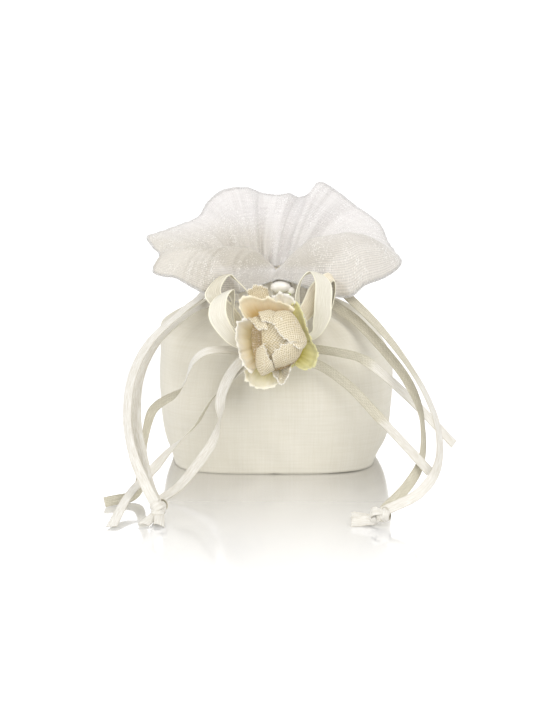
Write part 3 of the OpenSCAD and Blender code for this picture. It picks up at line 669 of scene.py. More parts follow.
def ribbon_faces(line, faces):
    """Two directions along the line: across the ribbon, and out of its shiny side."""
    ahead = unit(np.gradient(line, axis=0))
    shares, looks = zip(*faces)
    out = square_to(unit(read_off(np.linspace(0, 1, len(line)), shares, unit(looks))), ahead)
    return np.cross(ahead, out), out


def ribbon_mesh(name, line, across, out, width=RIBBON_WIDTH, cup=0.05, slant=0.8, material="satin",
                dull=None):
    """A flat ribbon, a little cupped and cut at a slant at its end, that stays above the table."""
    side = np.linspace(-1, 1, 9) * width / 2
    half = RIBBON_THICKNESS / 2
    ring = np.array([(s, half) for s in side] + [(s, -half) for s in side[::-1]])
    lift = cup * (1 - (2 * ring[:, 0] / width) ** 2) * width / 2
    points = (line[:, None] + across[:, None] * ring[None, :, :1]
              + out[:, None] * (ring[:, 1] + lift)[None, :, None])
    points[-1] += unit(line[-1] - line[-2]) * (ring[:, :1] / width * slant)
    points[:, :, 2] += np.maximum(TABLE_GAP - points[:, :, 2].min(axis=1), 0)[:, None]
    count, around = points.shape[:2]
    along = np.linspace(0, length_of(line), count)
    uv = np.stack([np.tile(ring[:, 0], count), np.repeat(along, around)], axis=1)
    piece = mesh_piece(name, points.reshape(-1, 3), tube_faces(count, around), uv, COATS[material])
    piece.data.set_sharp_from_angle(angle=math.radians(35))
    # The back value on the shiny side is painted shade: that side takes the dull tones up to the given share
    # of its length.
    front = np.zeros(count)
    if dull:
        front = smooth((dull[1] - np.linspace(0, 1, count)) / (dull[1] - dull[0]))
    write_values(piece, "back", np.repeat(np.stack([front, np.ones(count)], axis=1), len(side)))
    return piece


def joined(name, pieces):
    """Several mesh pieces made one, so that a knot is a single piece."""
    bpy.ops.object.select_all(action="DESELECT")
    for piece in pieces:
        piece.select_set(True)
    bpy.context.view_layer.objects.active = pieces[0]
    bpy.ops.object.join()
    pieces[0].name = name
    pieces[0].data.name = name
    return pieces[0]


def wrap_ribbon(name, line, centre, width, cup, slant=0.0, face=None):
    """A ribbon drawn round a centre, or with its shiny side towards the face that is given."""
    ahead = unit(np.gradient(line, axis=0))
    out = line - centre if face is None else np.broadcast_to(face, line.shape).astype(float)
    out = square_to(out, ahead)
    return ribbon_mesh(name, line, np.cross(ahead, out), out, width=width, cup=cup, slant=slant)


def turn_about_up(degrees):
    angle = math.radians(degrees)
    c, s = math.cos(angle), math.sin(angle)
    return np.array(((c, -s, 0), (s, c, 0), (0, 0, 1)))


def make_end_knot(side, place, turn, ends, face):
    """An overhand knot drawn tight in a flat ribbon, and its two cut ends fanned out on the table.

    The turn is the knot's, in degrees. Each end has its bearing in degrees, its reach and its lift.
    """
    place = np.array(place)
    spin = turn_about_up(turn).T
    a = np.linspace(0.15, TAU - 0.15, 120)
    loop = np.column_stack([np.sin(a) + 2 * np.sin(2 * a), -0.9 * np.sin(3 * a),
                            np.cos(a) - 2 * np.cos(2 * a)])
    line = place + (loop * (0.9, 0.95, 0.82)) @ spin
    line[:, 2] = np.maximum(line[:, 2], 1.7)
    parts = [wrap_ribbon("turns", line, place, 2.9, cup=0.15)]
    a = np.linspace(-0.3, TAU + 0.3, 60)
    belt = np.column_stack([0.3 * np.sin(2 * a), 1.5 * np.cos(a), 1.45 * np.sin(a)]) @ spin
    parts.append(wrap_ribbon("middle", place + belt, place, 3.0, cup=0.35))
    forward, beside, up = turn_about_up(sum(end[0] for end in ends) / len(ends)).T
    for along, z, first, second in ((1.5, 2.3, forward, beside), (-1.6, 3.1, beside, up)):
        heart = np.array((*place[:2], z)) + along * forward
        roll = heart + 1.15 * (np.cos(a)[:, None] * first + np.sin(a)[:, None] * second)
        parts.append(wrap_ribbon("tuck", roll, heart, 2.6, cup=0.5))
    knot = joined(side + "_knot_satin", parts)
    dress(knot, side + "_drawstring", [side + "_knot"])
    parts = []
    share = np.linspace(0, 1, 26)
    for slant, (bearing, reach, lift) in zip((1.4, -1.4), ends):
        line = np.array((*place[:2], 0)) + turn_about_up(bearing)[:, 0] * (1.2 + reach * share)[:, None]
        line[:, 2] = lift * np.sin(share * math.pi) + 0.5 + 1.5 * (1 - share) ** 3
        parts.append(wrap_ribbon("end", line, None, 3.0, cup=0.25, slant=slant, face=face))
    tail = joined(side + "_knot_ends_satin", parts)
    dress(tail, side + "_drawstring", [side + "_knot_ends"])
    return [knot, tail]


KNOTS = {"left_drawstring_back": make_end_knot("left", (-33, -64, 3.1), 70,
                                               ((240, 7.2, 0.5), (272, 6.6, 0.9)), (0.1, -0.3, 1)),
         "right_drawstring_back": make_end_knot("right", (29.5, -70.5, 3.1), 20,
                                                ((150, 7.4, 0.5), (182, 6.8, 0.9)), (0, -0.85, 0.5))}


def ribbon(name, route, faces, body, far_end, start):
    """A satin ribbon in place of its plain CAD solid."""
    fine = spline(route, 24)
    line = even(fine, max(40, int(length_of(fine) / RIBBON_STEP)))
    piece = ribbon_mesh(name + "_satin", line, *ribbon_faces(line, faces), dull=PAINTED_DULL_UNTIL.get(name))
    dress(piece, body, [name])


for name, (route, faces) in DRAWSTRINGS.items():
    ribbon(name, route, faces, name.rsplit("_", 1)[0], "knot", route[1])
for name, (route, faces) in TAILS.items():
    ribbon(name, route, faces, "pouch", "bare", route[0])


def bow_loop(name, rows, material):
    """One loop of the bow: a wide ribbon that turns over at its top."""
    fine = spline(rows, 24)
    fine = even(fine, int(length_of(fine[:, :3]) / LOOP_STEP))
    line, across = fine[:, :3], fine[:, 3:] / LOOP_WIDTH
    out = unit(np.cross(across, unit(np.gradient(line, axis=0))))
    piece = ribbon_mesh(name + "_satin", line, across, out, width=LOOP_WIDTH, slant=0, cup=0.08,
                        material=material)
    dress(piece, "pouch", [name])


for name, rows in LOOPS.items():
    bow_loop(name, rows,
             "bow_satin" if "front" in name else "sheer_ribbon" if "left" in name else "peach_reflection_ribbon")


# ---- The bag's cloth ------------------------------------------------------------------------------

# Height, half widths to the left and right, half depth, and squareness in plan.
BAG_LEVELS = np.array([
    (0, 30.3, 29.8, 20.6, 3.8), (0.8, 30.5, 30, 20.7, 3.7), (3, 31.3, 31.1, 21, 3.5),
    (8, 33, 33.4, 21.4, 3.3), (16, 34.2, 35, 21.9, 3.2), (24, 34.5, 35.3, 21.9, 3.1),
    (32, 34.3, 34.2, 20.6, 3), (38, 34.2, 31, 18.3, 2.9), (41.5, 33.3, 28, 15.5, 2.8),
    (45, 27.5, 24, 11.2, 2.6), (47.5, 20.5, 19.2, 8.2, 2.5), (49, 14.9, 14.9, 6.6, 2.4),
    (53, 14, 14, 5.6, 2.4)])
NECK_Z, CASING_TOP = 49.0, 57.1
NECK_RADIUS, CASING_RUN = 7.0, 8.0
PLEATS = 27


def plan(turn, left, right, depth, square):
    """Points of a level's outline at shares of a turn from the right, going round by the back."""
    c, s = np.cos(TAU * turn), np.sin(TAU * turn)
    half = np.where(c < 0, left, right)
    reach = ((np.abs(c) / half) ** square + (np.abs(s) / depth) ** square) ** (-1 / square)
    return np.stack([reach * c, reach * s], axis=-1)


def loft(levels, turns, rows):
    """A grid of points up a side that passes through the levels."""
    line = spline(levels, 12)
    heights = np.clip(even(line[:, [3, 0, 1]], rows)[:, 1], levels[0, 0], levels[-1, 0])
    return np.array([np.column_stack([plan(turns, *sizes), np.full(len(turns), height)])
                     for height, sizes in zip(heights, read_off(heights, line[:, 0], line[:, 1:]))])


def normals_of(grid, closed=True):
    """The outward side of a grid whose rows go up and whose columns go round by the back."""
    if closed:
        around = np.roll(grid, -1, axis=1) - np.roll(grid, 1, axis=1)
    else:
        around = np.gradient(grid, axis=1)
    return unit(np.cross(around, np.gradient(grid, axis=0)))


def pleat_depth(turns, heights):
    """How far the cloth is drawn in at each turn and height, by pleats that fade out further down."""
    rng = np.random.default_rng(11)
    places = (np.arange(PLEATS) + rng.uniform(-0.3, 0.3, PLEATS)) / PLEATS
    widths, depths, fades = (rng.uniform(low, high, PLEATS)
                             for low, high in ((0.009, 0.015), (0.7, 1.5), (27, 42)))
    drawn = np.zeros((len(heights), len(turns)))
    for place, width, deep, fade in zip(places, widths, depths, fades):
        strength = smooth((heights - fade) / (NECK_Z + 1 - fade)) ** 1.2
        drawn += deep * strength[:, None] * fold(turn_gap(turns, place), width, 0.45, 2)
    return drawn


def soft_waves(turns, heights):
    """Slow hollows and swells of a filled bag."""
    rng = np.random.default_rng(5)
    field = np.zeros((len(heights), len(turns)))
    for _ in range(9):
        rate, tall = rng.integers(3, 12), rng.uniform(14, 50)
        field += rng.uniform(0.4, 1) * np.sin(
            TAU * (rate * turns[None, :] + heights[:, None] / tall) + rng.uniform(0, TAU))
    return 0.55 * field / 4


def foot_lift(turns):
    """How far the bag's lower edge stands off the table: a small arch in front, and two others."""
    return sum(high * hump(turns - place, width) for high, place, width in (
        (0.15, 0.748, 0.012), (0.2, 0.885, 0.03), (0.3, 0.27, 0.03)))


def bag_grid(columns, rows, inset, folds=1.0):
    """The bag's side with its pleats, waves and side seams, set in by that many millimetres."""
    turns = np.arange(columns) / columns
    grid = loft(BAG_LEVELS, turns, rows)
    heights = grid[:, 0, 2]
    out = normals_of(grid)
    held = smooth(heights / 5) * smooth((52 - heights) / 6)
    wave = soft_waves(turns, heights) * held[:, None]
    seam = sum(0.5 * hump(turn_gap(turns, side), 0.0035) for side in (0.0, 0.5))
    seam = seam[None, :] * smooth((50 - heights) / 4)[:, None]
    grid = grid + out * (folds * (wave - pleat_depth(turns, heights) - seam) - inset)[:, :, None]
    grid[:, :, 2] += foot_lift(turns)[None, :] * np.exp(-heights / 4)[:, None]
    grid[:, :, 2] = np.maximum(grid[:, :, 2], TABLE_GAP + max(inset - 0.4, 0))
    return grid


def make_bag():
    """The outer cloth, the lining with its floor, and the cloth under the base."""
    outside = bag_grid(columns=336, rows=96, inset=0.4)
    outer = sheet_piece("bag_cloth", outside, COATS["linen"], thickness=0.7)
    dress(outer, "pouch", ["front_panel", "back_panel"])
    inside = bag_grid(columns=144, rows=60, inset=1.5, folds=0.8)[3:]
    shares = np.linspace(0.04, 1, 9)[:, None, None]
    floor_z = 2.0
    floor = (inside[0] * (1, 1, 0) + (0, 0, floor_z))[None] * np.concatenate(
        [shares, shares, np.ones_like(shares)], axis=2)
    lining = sheet_piece("bag_lining", np.concatenate([floor, inside]), COATS["lining_cloth"],
                         thickness=0.3)
    dress(lining, "pouch", ["lining", "lining_base"])
    middle = np.linspace(0.03, 1, 14)
    base = outside[0][None] * np.stack([middle, middle, middle ** 6], axis=1)[:, None, :]
    base[:, :, 2] += 0.4 + 0.35 * np.sin(middle * math.pi)[:, None]
    base[:, :, 2] = np.where(middle[:, None] > 0.97, np.maximum(base[:, :, 2] - 0.3, 0.35), base[:, :, 2])
    under = sheet_piece("base_cloth", base, COATS["linen"], thickness=0.6, flip=True)
    dress(under, "pouch", ["base_panel"])
    return outer


bag_cloth = make_bag()
base_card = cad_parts["base_card"]
base_card.data.materials.clear()
base_card.data.materials.append(COATS["card"])


# ---- The casing and the frill ---------------------------------------------------------------------

def neck_outline(turns, radius):
    """The flattened ring of the casing, at even shares of its length from the right, by the back."""
    ring = []
    for side, start in ((1, -90), (-1, 90)):
        for a in np.radians(np.linspace(start, start + 180, 60)):
            ring.append((side * CASING_RUN + radius * math.cos(a), radius * math.sin(a)))
    ring = np.array(ring + ring[:1])
    along = travelled(ring)
    right = along[:60][np.argmin(np.abs(ring[:60, 1]))]
    return read_off((turns * along[-1] + right) % along[-1], along, ring)


def outward_of(outline):
    """The outward side at points of the casing's outline."""
    return unit(outline - np.clip(outline, (-CASING_RUN, 0), (CASING_RUN, 0)))


def gather(turns, seed, count, size):
    """Close, uneven gathers round the neck."""
    rng = np.random.default_rng(seed)
    places = (np.arange(count) + rng.uniform(-0.25, 0.25, count)) / count
    total = np.zeros_like(turns)
    for place, deep in zip(places, rng.uniform(0.5, 1, count)):
        total += deep * np.exp(-(turn_gap(turns, place) * count * 3.2) ** 2)
    return size * (total - 0.5)


# The frill's hem, from its right tip round by the back to its left tip and back along the front:
# place in millimetres, how steeply the cloth rises from the casing and how far it rises over the
# hem before it falls, and how far out that is, as a share of the way to the hem.
FRILL_HEM = np.array([
    (37.4, -2, 60.5, 8, 11, 0.7), (36.1, 3, 61.4, 8, 10, 0.66), (33.8, 7, 64.2, 8, 8, 0.62),
    (31.8, 11, 68.2, 8, 6, 0.62), (29.1, 12, 70.7, 8, 4, 0.62), (24.3, 13, 73.9, 8, 3, 0.62),
    (18.9, 12, 78.4, 8, 2, 0.6), (13.8, 11, 81.5, 8, 2, 0.55), (11.1, 15, 78.4, 8, 3, 0.6),
    (7.5, 19, 75.1, 8, 4, 0.65), (4.2, 16, 76.9, 8, 4, 0.62), (0.6, 14, 77, 8, 4, 0.6),
    (-3.9, 15, 77.4, 8, 4, 0.62), (-8.1, 12, 79.6, 8, 3, 0.6), (-12.3, 10, 80.1, 8, 3, 0.6),
    (-16.2, 10, 79.1, 8, 3, 0.62), (-20.1, 10, 75.8, 8, 3, 0.62), (-23.1, 9, 71.4, 8, 4, 0.62),
    (-29.6, 6, 69.3, 8, 4, 0.62), (-34.9, 3, 67.9, 8, 5, 0.66), (-38, 0, 67.3, 8, 5, 0.7),
    (-36.1, -5, 65.4, 8, 7, 0.74), (-34, -8, 63.4, 8, 10, 0.8), (-35.9, -13, 60.1, 8, 13, 0.85),
    (-32.9, -15, 59, 9, 15, 0.88), (-29.1, -16, 58.7, 9, 15, 0.9), (-24.4, -15, 55.7, 9, 19, 0.92),
    (-19.8, -13, 53.1, 10, 21, 0.95), (-14, -11.5, 52.6, 11, 20, 1), (-9, -9.6, 53.2, 10, 13, 1.1),
    (-5, -8.8, 54.4, 7, 7, 1.1), (-2.5, -8.6, 55.4, 5, 3, 1.1), (1, -9, 56.6, 6, 4, 1.1),
    (5, -9.6, 55.9, 10, 10, 1.2), (9, -10.6, 54.4, 12, 18, 1.2), (13, -12, 53.2, 12, 25, 1.05),
    (17.9, -12.3, 52.1, 11, 29, 1), (22.6, -13, 52.5, 10, 31, 0.95), (26.4, -13, 55.8, 10, 28, 0.92),
    (31.8, -10, 57.2, 9, 24, 0.88), (36.1, -6, 59, 8, 17, 0.8)])
LEFT_TIP = 20
FRILL_COLUMNS, FRILL_ROWS = 504, 44
# Single folds: the share of a turn where they run, their width, how far they stand out, and the
# shares of the way up between which they run.
FRILL_CREASES = ((0.305, 0.009, 0.7, 0.0, 0.95), (0.215, 0.019, 1.8, 0.0, 1.1),
                 (0.41, 0.02, 0.7, 0.1, 1.0), (0.12, 0.018, 0.7, 0.2, 1.0))


def frill_grid():
    steps = 24
    hem = spline(FRILL_HEM, steps, closed=True)
    loop = np.vstack([hem, hem[:1]])
    along = travelled(loop[:, :3])
    half = along[LEFT_TIP * steps]
    turns = np.where(along < half, 0.5 * along / half,
                     0.5 + 0.5 * (along - half) / (along[-1] - half))
    at = np.linspace(0, along[-1], FRILL_COLUMNS, endpoint=False)
    turn = np.interp(at, along, turns)
    hem, climb, arch, reach = np.split(read_off(at, along, loop), (3, 4, 5), axis=1)
    foot = np.column_stack([neck_outline(turn, NECK_RADIUS - 1.2), np.full(len(turn), CASING_TOP - 0.6)])
    up = np.array((0.0, 0, 1))
    first = foot + up * climb + unit(foot * (0.45, 1, 0)) * 3.2
    second = foot + (hem - foot) * np.hstack([reach, reach, np.full_like(reach, 0.8)]) + up * arch
    u = np.linspace(0, 1, FRILL_ROWS)[:, None, None]
    grid = (1 - u) ** 3 * foot + 3 * (1 - u) ** 2 * u * first + 3 * (1 - u) * u ** 2 * second + u ** 3 * hem
    share = u[:, :, 0]
    gathers = (gather(turn, 21, 30, 1.0) - 0.1) * (1 - share) ** 4.0 * np.where(turn < 0.5, 3.4, 2.8)
    folds = waves(turn, 8, 6, 9, 17) * np.sin(share * math.pi) * 0.5
    crinkle = waves(turn, 9, 7, 40, 90) * smooth(share) * 0.12
    for place, width, depth, low, high in FRILL_CREASES:
        reach = smooth((share - low) / 0.15) * smooth((high - share) / 0.3)
        folds = folds + depth * fold(turn_gap(turn, place), width, 0.4, 1.8) * reach
    return grid + normals_of(grid) * (gathers + folds + crinkle)[:, :, None]


frill_points = frill_grid()


def make_frill():
    """The frill. Its tone is darker and warmer low down and on the left, a painted shade of its folds, and in
    front, where more layers lie behind it; close over the casing it is kept lighter, a painted light on the
    shaded flop.
    """
    frill = sheet_piece("frill_cloth", frill_points, COATS["organza"], thickness=0.22)
    places = np.zeros(len(frill.data.vertices) * 3)
    frill.data.vertices.foreach_get("co", places)
    x, y, z = (places.reshape(-1, 3) / MM).T
    # low is painted shade, darker low down and more on the left; under takes that shade away close over the
    # casing, a painted light on the shaded flop.
    low = smooth((73 - z) / 10) * lerp(0.25, 1.0, smooth((2 - x) / 8))
    under = smooth((62 - z) / 3) * smooth((20 - np.abs(x)) / 6) * smooth((-2 - y) / 3)
    write_values(frill, "depth", np.clip(low + 0.55 * smooth((4 - y) / 14), 0, 1) * (1 - 0.8 * under))
    return dress(frill, "pouch", ["frill_front", "frill_back"])


frill_cloth = make_frill()


# ---- Stitches -------------------------------------------------------------------------------------

def stitch_tree():
    """A thread loop on each point: it spans the point's 'reach' and stands up along its 'rise'."""
    tree = bpy.data.node_groups.new("thread_stitches", "GeometryNodeTree")
    for label, kind, value in (
            ("Rows", "Geometry", None), ("Stitch length", "Float", 0.0012),
            ("Stitch height", "Float", 0.0004), ("Thread radius", "Float", 0.0001),
            ("Unevenness", "Float", 0.2), ("Seed", "Int", 3), ("Thread", "Material", None)):
        made = tree.interface.new_socket(name=label, in_out="INPUT", socket_type="NodeSocket" + kind)
        if value is not None:
            made.default_value = value
    tree.interface.new_socket(name="Stitches", in_out="OUTPUT", socket_type="NodeSocketGeometry")
    n = Nodes(tree)
    given = n.add("NodeGroupInput").outputs
    arc = n.first("GeometryNodeCurveArc", {"Resolution": 7, "Radius": 1.0, "Start Angle": 0.0,
                                           "Sweep Angle": math.pi}, mode="RADIUS")
    size = n.first("ShaderNodeCombineXYZ", {0: n.times(given["Stitch length"], 0.5),
                                            1: given["Stitch height"], 2: 1.0})
    shaped = n.first("GeometryNodeTransform", {"Geometry": arc, "Scale": size})
    ring = n.first("GeometryNodeCurvePrimitiveCircle", {"Resolution": 5, "Radius": given["Thread radius"]},
                   mode="RADIUS")
    thread = n.first("GeometryNodeCurveToMesh", {"Curve": shaped, "Profile Curve": ring, "Fill Caps": True})
    reach, rise = (n.first("GeometryNodeInputNamedAttribute", {"Name": name}, data_type="FLOAT_VECTOR")
                   for name in ("reach", "rise"))
    along = n.first("FunctionNodeAlignRotationToVector", {"Vector": reach}, axis="X")
    both = n.first("FunctionNodeAlignRotationToVector", {"Rotation": along, "Vector": rise}, axis="Y",
                   pivot_axis="X")
    uneven = n.add("FunctionNodeRandomValue", {
        2: n.minus(1.0, given["Unevenness"]), 3: n.plus(1.0, given["Unevenness"]), 8: given["Seed"]},
        data_type="FLOAT").outputs[1]
    placed = n.first("GeometryNodeInstanceOnPoints", {"Points": given["Rows"], "Instance": thread,
                                                      "Rotation": both, "Scale": uneven})
    real = n.first("GeometryNodeRealizeInstances", {"Geometry": placed})
    n.add("NodeGroupOutput", {0: n.first("GeometryNodeSetMaterial", {
        "Geometry": real, "Material": given["Thread"]})})
    return tree


STITCHES = stitch_tree()


def sew(name, points, reach, rise, length, height, radius):
    """A piece of stitches, one for each point, with the thread's sizes in millimetres."""
    mesh = bpy.data.meshes.new(name + "_rows")
    mesh.from_pydata((np.asarray(points) * MM).tolist(), [], [])
    for label, vectors in (("reach", reach), ("rise", rise)):
        layer = mesh.attributes.new(label, "FLOAT_VECTOR", "POINT")
        layer.data.foreach_set("vector", np.asarray(vectors, float).ravel())
    holder = put(name + "_rows", mesh)
    modifier = holder.modifiers.new("stitches", "NODES")
    modifier.node_group = STITCHES
    sockets = {item.name: item.identifier for item in STITCHES.interface.items_tree
               if item.in_out == "INPUT"}
    for label, value in (("Stitch length", length * MM), ("Stitch height", height * MM),
                         ("Thread radius", radius * MM), ("Unevenness", 0.15), ("Seed", 3),
                         ("Thread", COATS["overlock"])):
        modifier[sockets[label]] = value
    graph = bpy.context.evaluated_depsgraph_get()
    made = bpy.data.meshes.new_from_object(holder.evaluated_get(graph))
    bpy.data.objects.remove(holder)
    made.name = name
    made.polygons.foreach_set("use_smooth", [True] * len(made.polygons))
    return put(name, made)


def beside(points):
    """The direction along a closed line at each of its points."""
    return unit(np.roll(points, -1, axis=0) - np.roll(points, 1, axis=0))


def make_hem():
    """A rolled edge with overlock stitches across it, on the frill's outer and inner side."""
    wide, stitches, sides = 0.7, 520, 10
    edge = even(frill_points[-1], stitches, closed=True)
    inner = frill_points[-4]
    nearest = np.argmin(np.linalg.norm(inner[None] - edge[:, None], axis=2), axis=1)
    along = beside(edge)
    into = square_to(unit(inner[nearest] - edge), along)
    out = np.cross(along, into)
    middle = edge + into * (wide / 2 - 0.15)
    section = [(0.5 * wide * math.cos(a), 0.12 * math.sin(a)) for a in np.arange(sides) * TAU / sides]
    rope = [[m + i * s[0] + o * s[1] for s in section] for m, i, o in zip(middle, into, out)]
    rope = np.array(rope + rope[:1])
    roll = mesh_piece("frill_hem_roll", rope.reshape(-1, 3), grid_faces(len(rope), sides, closed=True),
                      None, COATS["overlock"])
    weld_seam(roll)
    loops = sew("frill_hem_loops", np.concatenate([middle, middle + along * 0.1]),
                np.concatenate([unit(into + 0.35 * along), unit(into - 0.35 * along)]),
                np.concatenate([out, -out]), wide * 1.2, 0.28, 0.09)
    dress(roll, "pouch", ["frill_hem_front", "frill_hem_back"])
    dress(loops, "pouch", [])
    return [roll, loops]


make_hem()


def casing_piece(name, columns, radius, gathers, pinch, bulge, heights, material, replaced):
    """A band of cloth at those heights round the casing's outline, gathered and pushed outwards."""
    turns = np.arange(columns) / columns
    outline = neck_outline(turns, radius)
    push = gather(turns, *gathers) * pinch[:, None] + bulge[:, None]
    grid = np.concatenate([outline + outward_of(outline) * push[:, :, None],
                           np.broadcast_to(heights[:, None, None], (*push.shape, 1))], axis=2)
    piece = sheet_piece(name, grid, COATS[material], thickness=0.3)
    return dress(piece, "pouch", replaced)


def make_casing():
    """The casing's gathered cloth with two stitched rows, and the gathers in the throat."""
    rows = 18
    sewn = np.ones(rows)
    sewn[[1, -2]] = 0.35
    bulge = 0.35 * np.sin(np.linspace(0, math.pi, rows))
    band = casing_piece("casing_band", 420, NECK_RADIUS - 0.2, (31, 38, 0.75), sewn, bulge,
                        np.linspace(NECK_Z - 0.5, CASING_TOP, rows), "casing_organza_painted_light",
                        ["neck_casing"])
    tall = np.linspace(NECK_Z - 1.5, CASING_TOP + 0.2, 14)
    flare = np.interp(tall, [NECK_Z - 1.5, NECK_Z + 2, CASING_TOP - 1.5, CASING_TOP + 0.2],
                      [1.5, 0, 0, 1.6])
    throat = casing_piece("throat_gathers", 260, 3.9, (33, 34, 2.0), np.ones(len(tall)), flare, tall,
                          "lining_cloth", [])
    pieces = [band, throat]
    stitches = 70
    path = neck_outline(np.arange(stitches) / stitches, NECK_RADIUS + 0.1)
    outward = outward_of(path)
    path = path + outward * 0.1
    flat = np.zeros((len(path), 1))
    for label, z in (("lower", NECK_Z + 0.2), ("upper", CASING_TOP - 0.6)):
        row = sew("casing_stitches_" + label, np.hstack([path, flat + z]), np.hstack([beside(path), flat]),
                  np.hstack([outward, flat]), 0.9, 0.3, 0.11)
        pieces.append(dress(row, "pouch", []))
    return pieces


make_casing()


# ---- The ribbons' hidden stretches and the bow's knot ---------------------------------------------

def hidden_ribbon(name, side, z):
    """The part of a drawstring that stays in the casing, round the end away from its own strands."""
    middle, reach, radius = 0.25 - 0.25 * side, 0.33, 5.7
    path = neck_outline(np.linspace(middle - reach, middle + reach, 90) % 1, radius)
    path = path[path[:, 0] * side > -0.9]
    line = np.column_stack([path, np.full(len(path), z)])
    out = np.column_stack([outward_of(path), np.zeros(len(path))])
    across = np.cross(unit(np.gradient(line, axis=0)), out)
    dress(ribbon_mesh(name + "_satin", line, across, out, slant=0), "pouch", [name])


hidden_ribbon("left_drawstring_loop", 1, 54.7)
hidden_ribbon("right_drawstring_loop", -1, 51.4)


def make_bow_knot():
    """Two turns of ribbon round the bow's middle, over the crossing ribbons."""
    centre = np.array((0, KNOT_Y, 39.5))
    parts = []
    for x, lean in ((-1.7, 0.25), (1.6, -0.2)):
        a = np.linspace(0.1, TAU + 0.4, 60)
        line = centre + np.column_stack([x + lean * np.sin(a), -1.95 * np.cos(a), 3.1 * np.sin(a)])
        parts.append(wrap_ribbon("turn", line, centre + (x, 0, 0), 3.3, cup=0.1))
    for z in (-1.6, 1.7):
        a = np.linspace(-1.2, TAU - 1.5, 60)
        line = centre + np.column_stack([3.1 * np.cos(a), 1.6 * np.sin(a), z + 0.3 * np.sin(2 * a)])
        parts.append(wrap_ribbon("band", line, centre + (0, 0, z), 2.6, cup=0.1))
    dress(joined("bow_knot_satin", parts), "pouch", ["bow_knot"])


make_bow_knot()


# ---- The rose -------------------------------------------------------------------------------------

STEM_PLACE = np.array((0.5, -24.32, 40.0))
CUP_FOOT = 3.0
ROSE_TILT = math.radians(75)
ROSE_TURN = np.array(((1, 0, 0), (0, math.cos(ROSE_TILT), -math.sin(ROSE_TILT)),
                      (0, math.sin(ROSE_TILT), math.cos(ROSE_TILT))))
PETAL_ROWS, PETAL_COLUMNS = 48, 64


def rose_place(points):
    """Points of the rose's own frame, whose Z is its axis, set in the pouch's frame."""
    return STEM_PLACE + np.asarray(points) @ ROSE_TURN.T


def bloom(name, material, slot, replaced, seed, ruffle, high, rim, lip_high=None, lip=None, deep=1.0):
    """A petal: from its foot out to its rim, and where it has a lip, in again over the rose's middle.

    The rim and the lip are points seen along the rose's axis, and high is how far up it they are.
    """
    middle = np.array((0.0, 1.0))
    paths = []
    for k, edge in enumerate(np.array(rim, float)):
        way = edge - middle
        path = [(*(middle + 0.12 * way), CUP_FOOT + 0.1), (*(middle + 0.5 * way), CUP_FOOT + 0.7),
                (*(middle + 0.9 * way), lerp(CUP_FOOT, high, 0.6)), (*edge, high)]
        if lip is None:
            path.append((*(middle + 1.04 * way), high + 0.2))
        else:
            path += [(*lerp(edge, np.array(lip[k], float), share), lerp(high, lip_high, up))
                     for share, up in ((0.12, 0.4), (0.5, 0.8), (1, 1))]
        paths.append(path)
    paths = np.array(paths)
    wide = np.stack([even(spline(path, 10), PETAL_COLUMNS) for path in paths.swapaxes(0, 1)])
    grid = np.stack([even(spline(path, 10), PETAL_ROWS) for path in wide.swapaxes(0, 1)], axis=1)
    u = np.linspace(0, 1, PETAL_ROWS)[:, None]
    across = np.linspace(0, 1, PETAL_COLUMNS)[None, :]
    rng = np.random.default_rng(seed)

    def ripples(count, low, high, slope, rim_share=1.0):
        """Random waves along the petal's rim, that lean with the height."""
        return sum(rng.uniform(0.4, 1) * np.sin(
            TAU * (rng.uniform(low, high) * rim_share * across + rng.uniform(-slope, slope) * u)
            + rng.uniform(0, TAU)) for _ in range(count))

    wave = ripples(5, 0.8, 3.2, 0.7) / 2.5
    crimp = np.sin(TAU * (7 * across + 0.5 * np.sin(TAU * 2 * across + seed))) * 0.04
    fray = rng.normal(0, 0.12, PETAL_COLUMNS)[None, :] * smooth((u - 0.9) / 0.1)
    rim_share = length_of(np.array(rim, float)) / 14
    wrinkles = ripples(6, 3, 8, 1.5, rim_share) / 4 * (0.2 if lip is None else 0.09)
    scallops = sum(np.sin(TAU * rng.uniform(3, 9) * rim_share * across + rng.uniform(0, TAU))
                   for _ in range(4)) * 0.1
    fray = fray + scallops * smooth((u - 0.75) / 0.25)
    relief = (wave * ruffle + crimp + wrinkles) * u ** 1.5
    grid = (grid + normals_of(grid, closed=False) * relief[:, :, None]
            + unit(np.gradient(grid, axis=0)) * fray[:, :, None])
    piece = sheet_piece(name, rose_place(grid), COATS[material], thickness=0.1, closed=False)
    # The depth value paints shade towards the petal's foot.
    write_values(piece, "depth", np.repeat(deep * np.clip(2.2 * (1 - u[:, 0]), 0, 1), PETAL_COLUMNS))
    dress(piece, "rose", replaced)


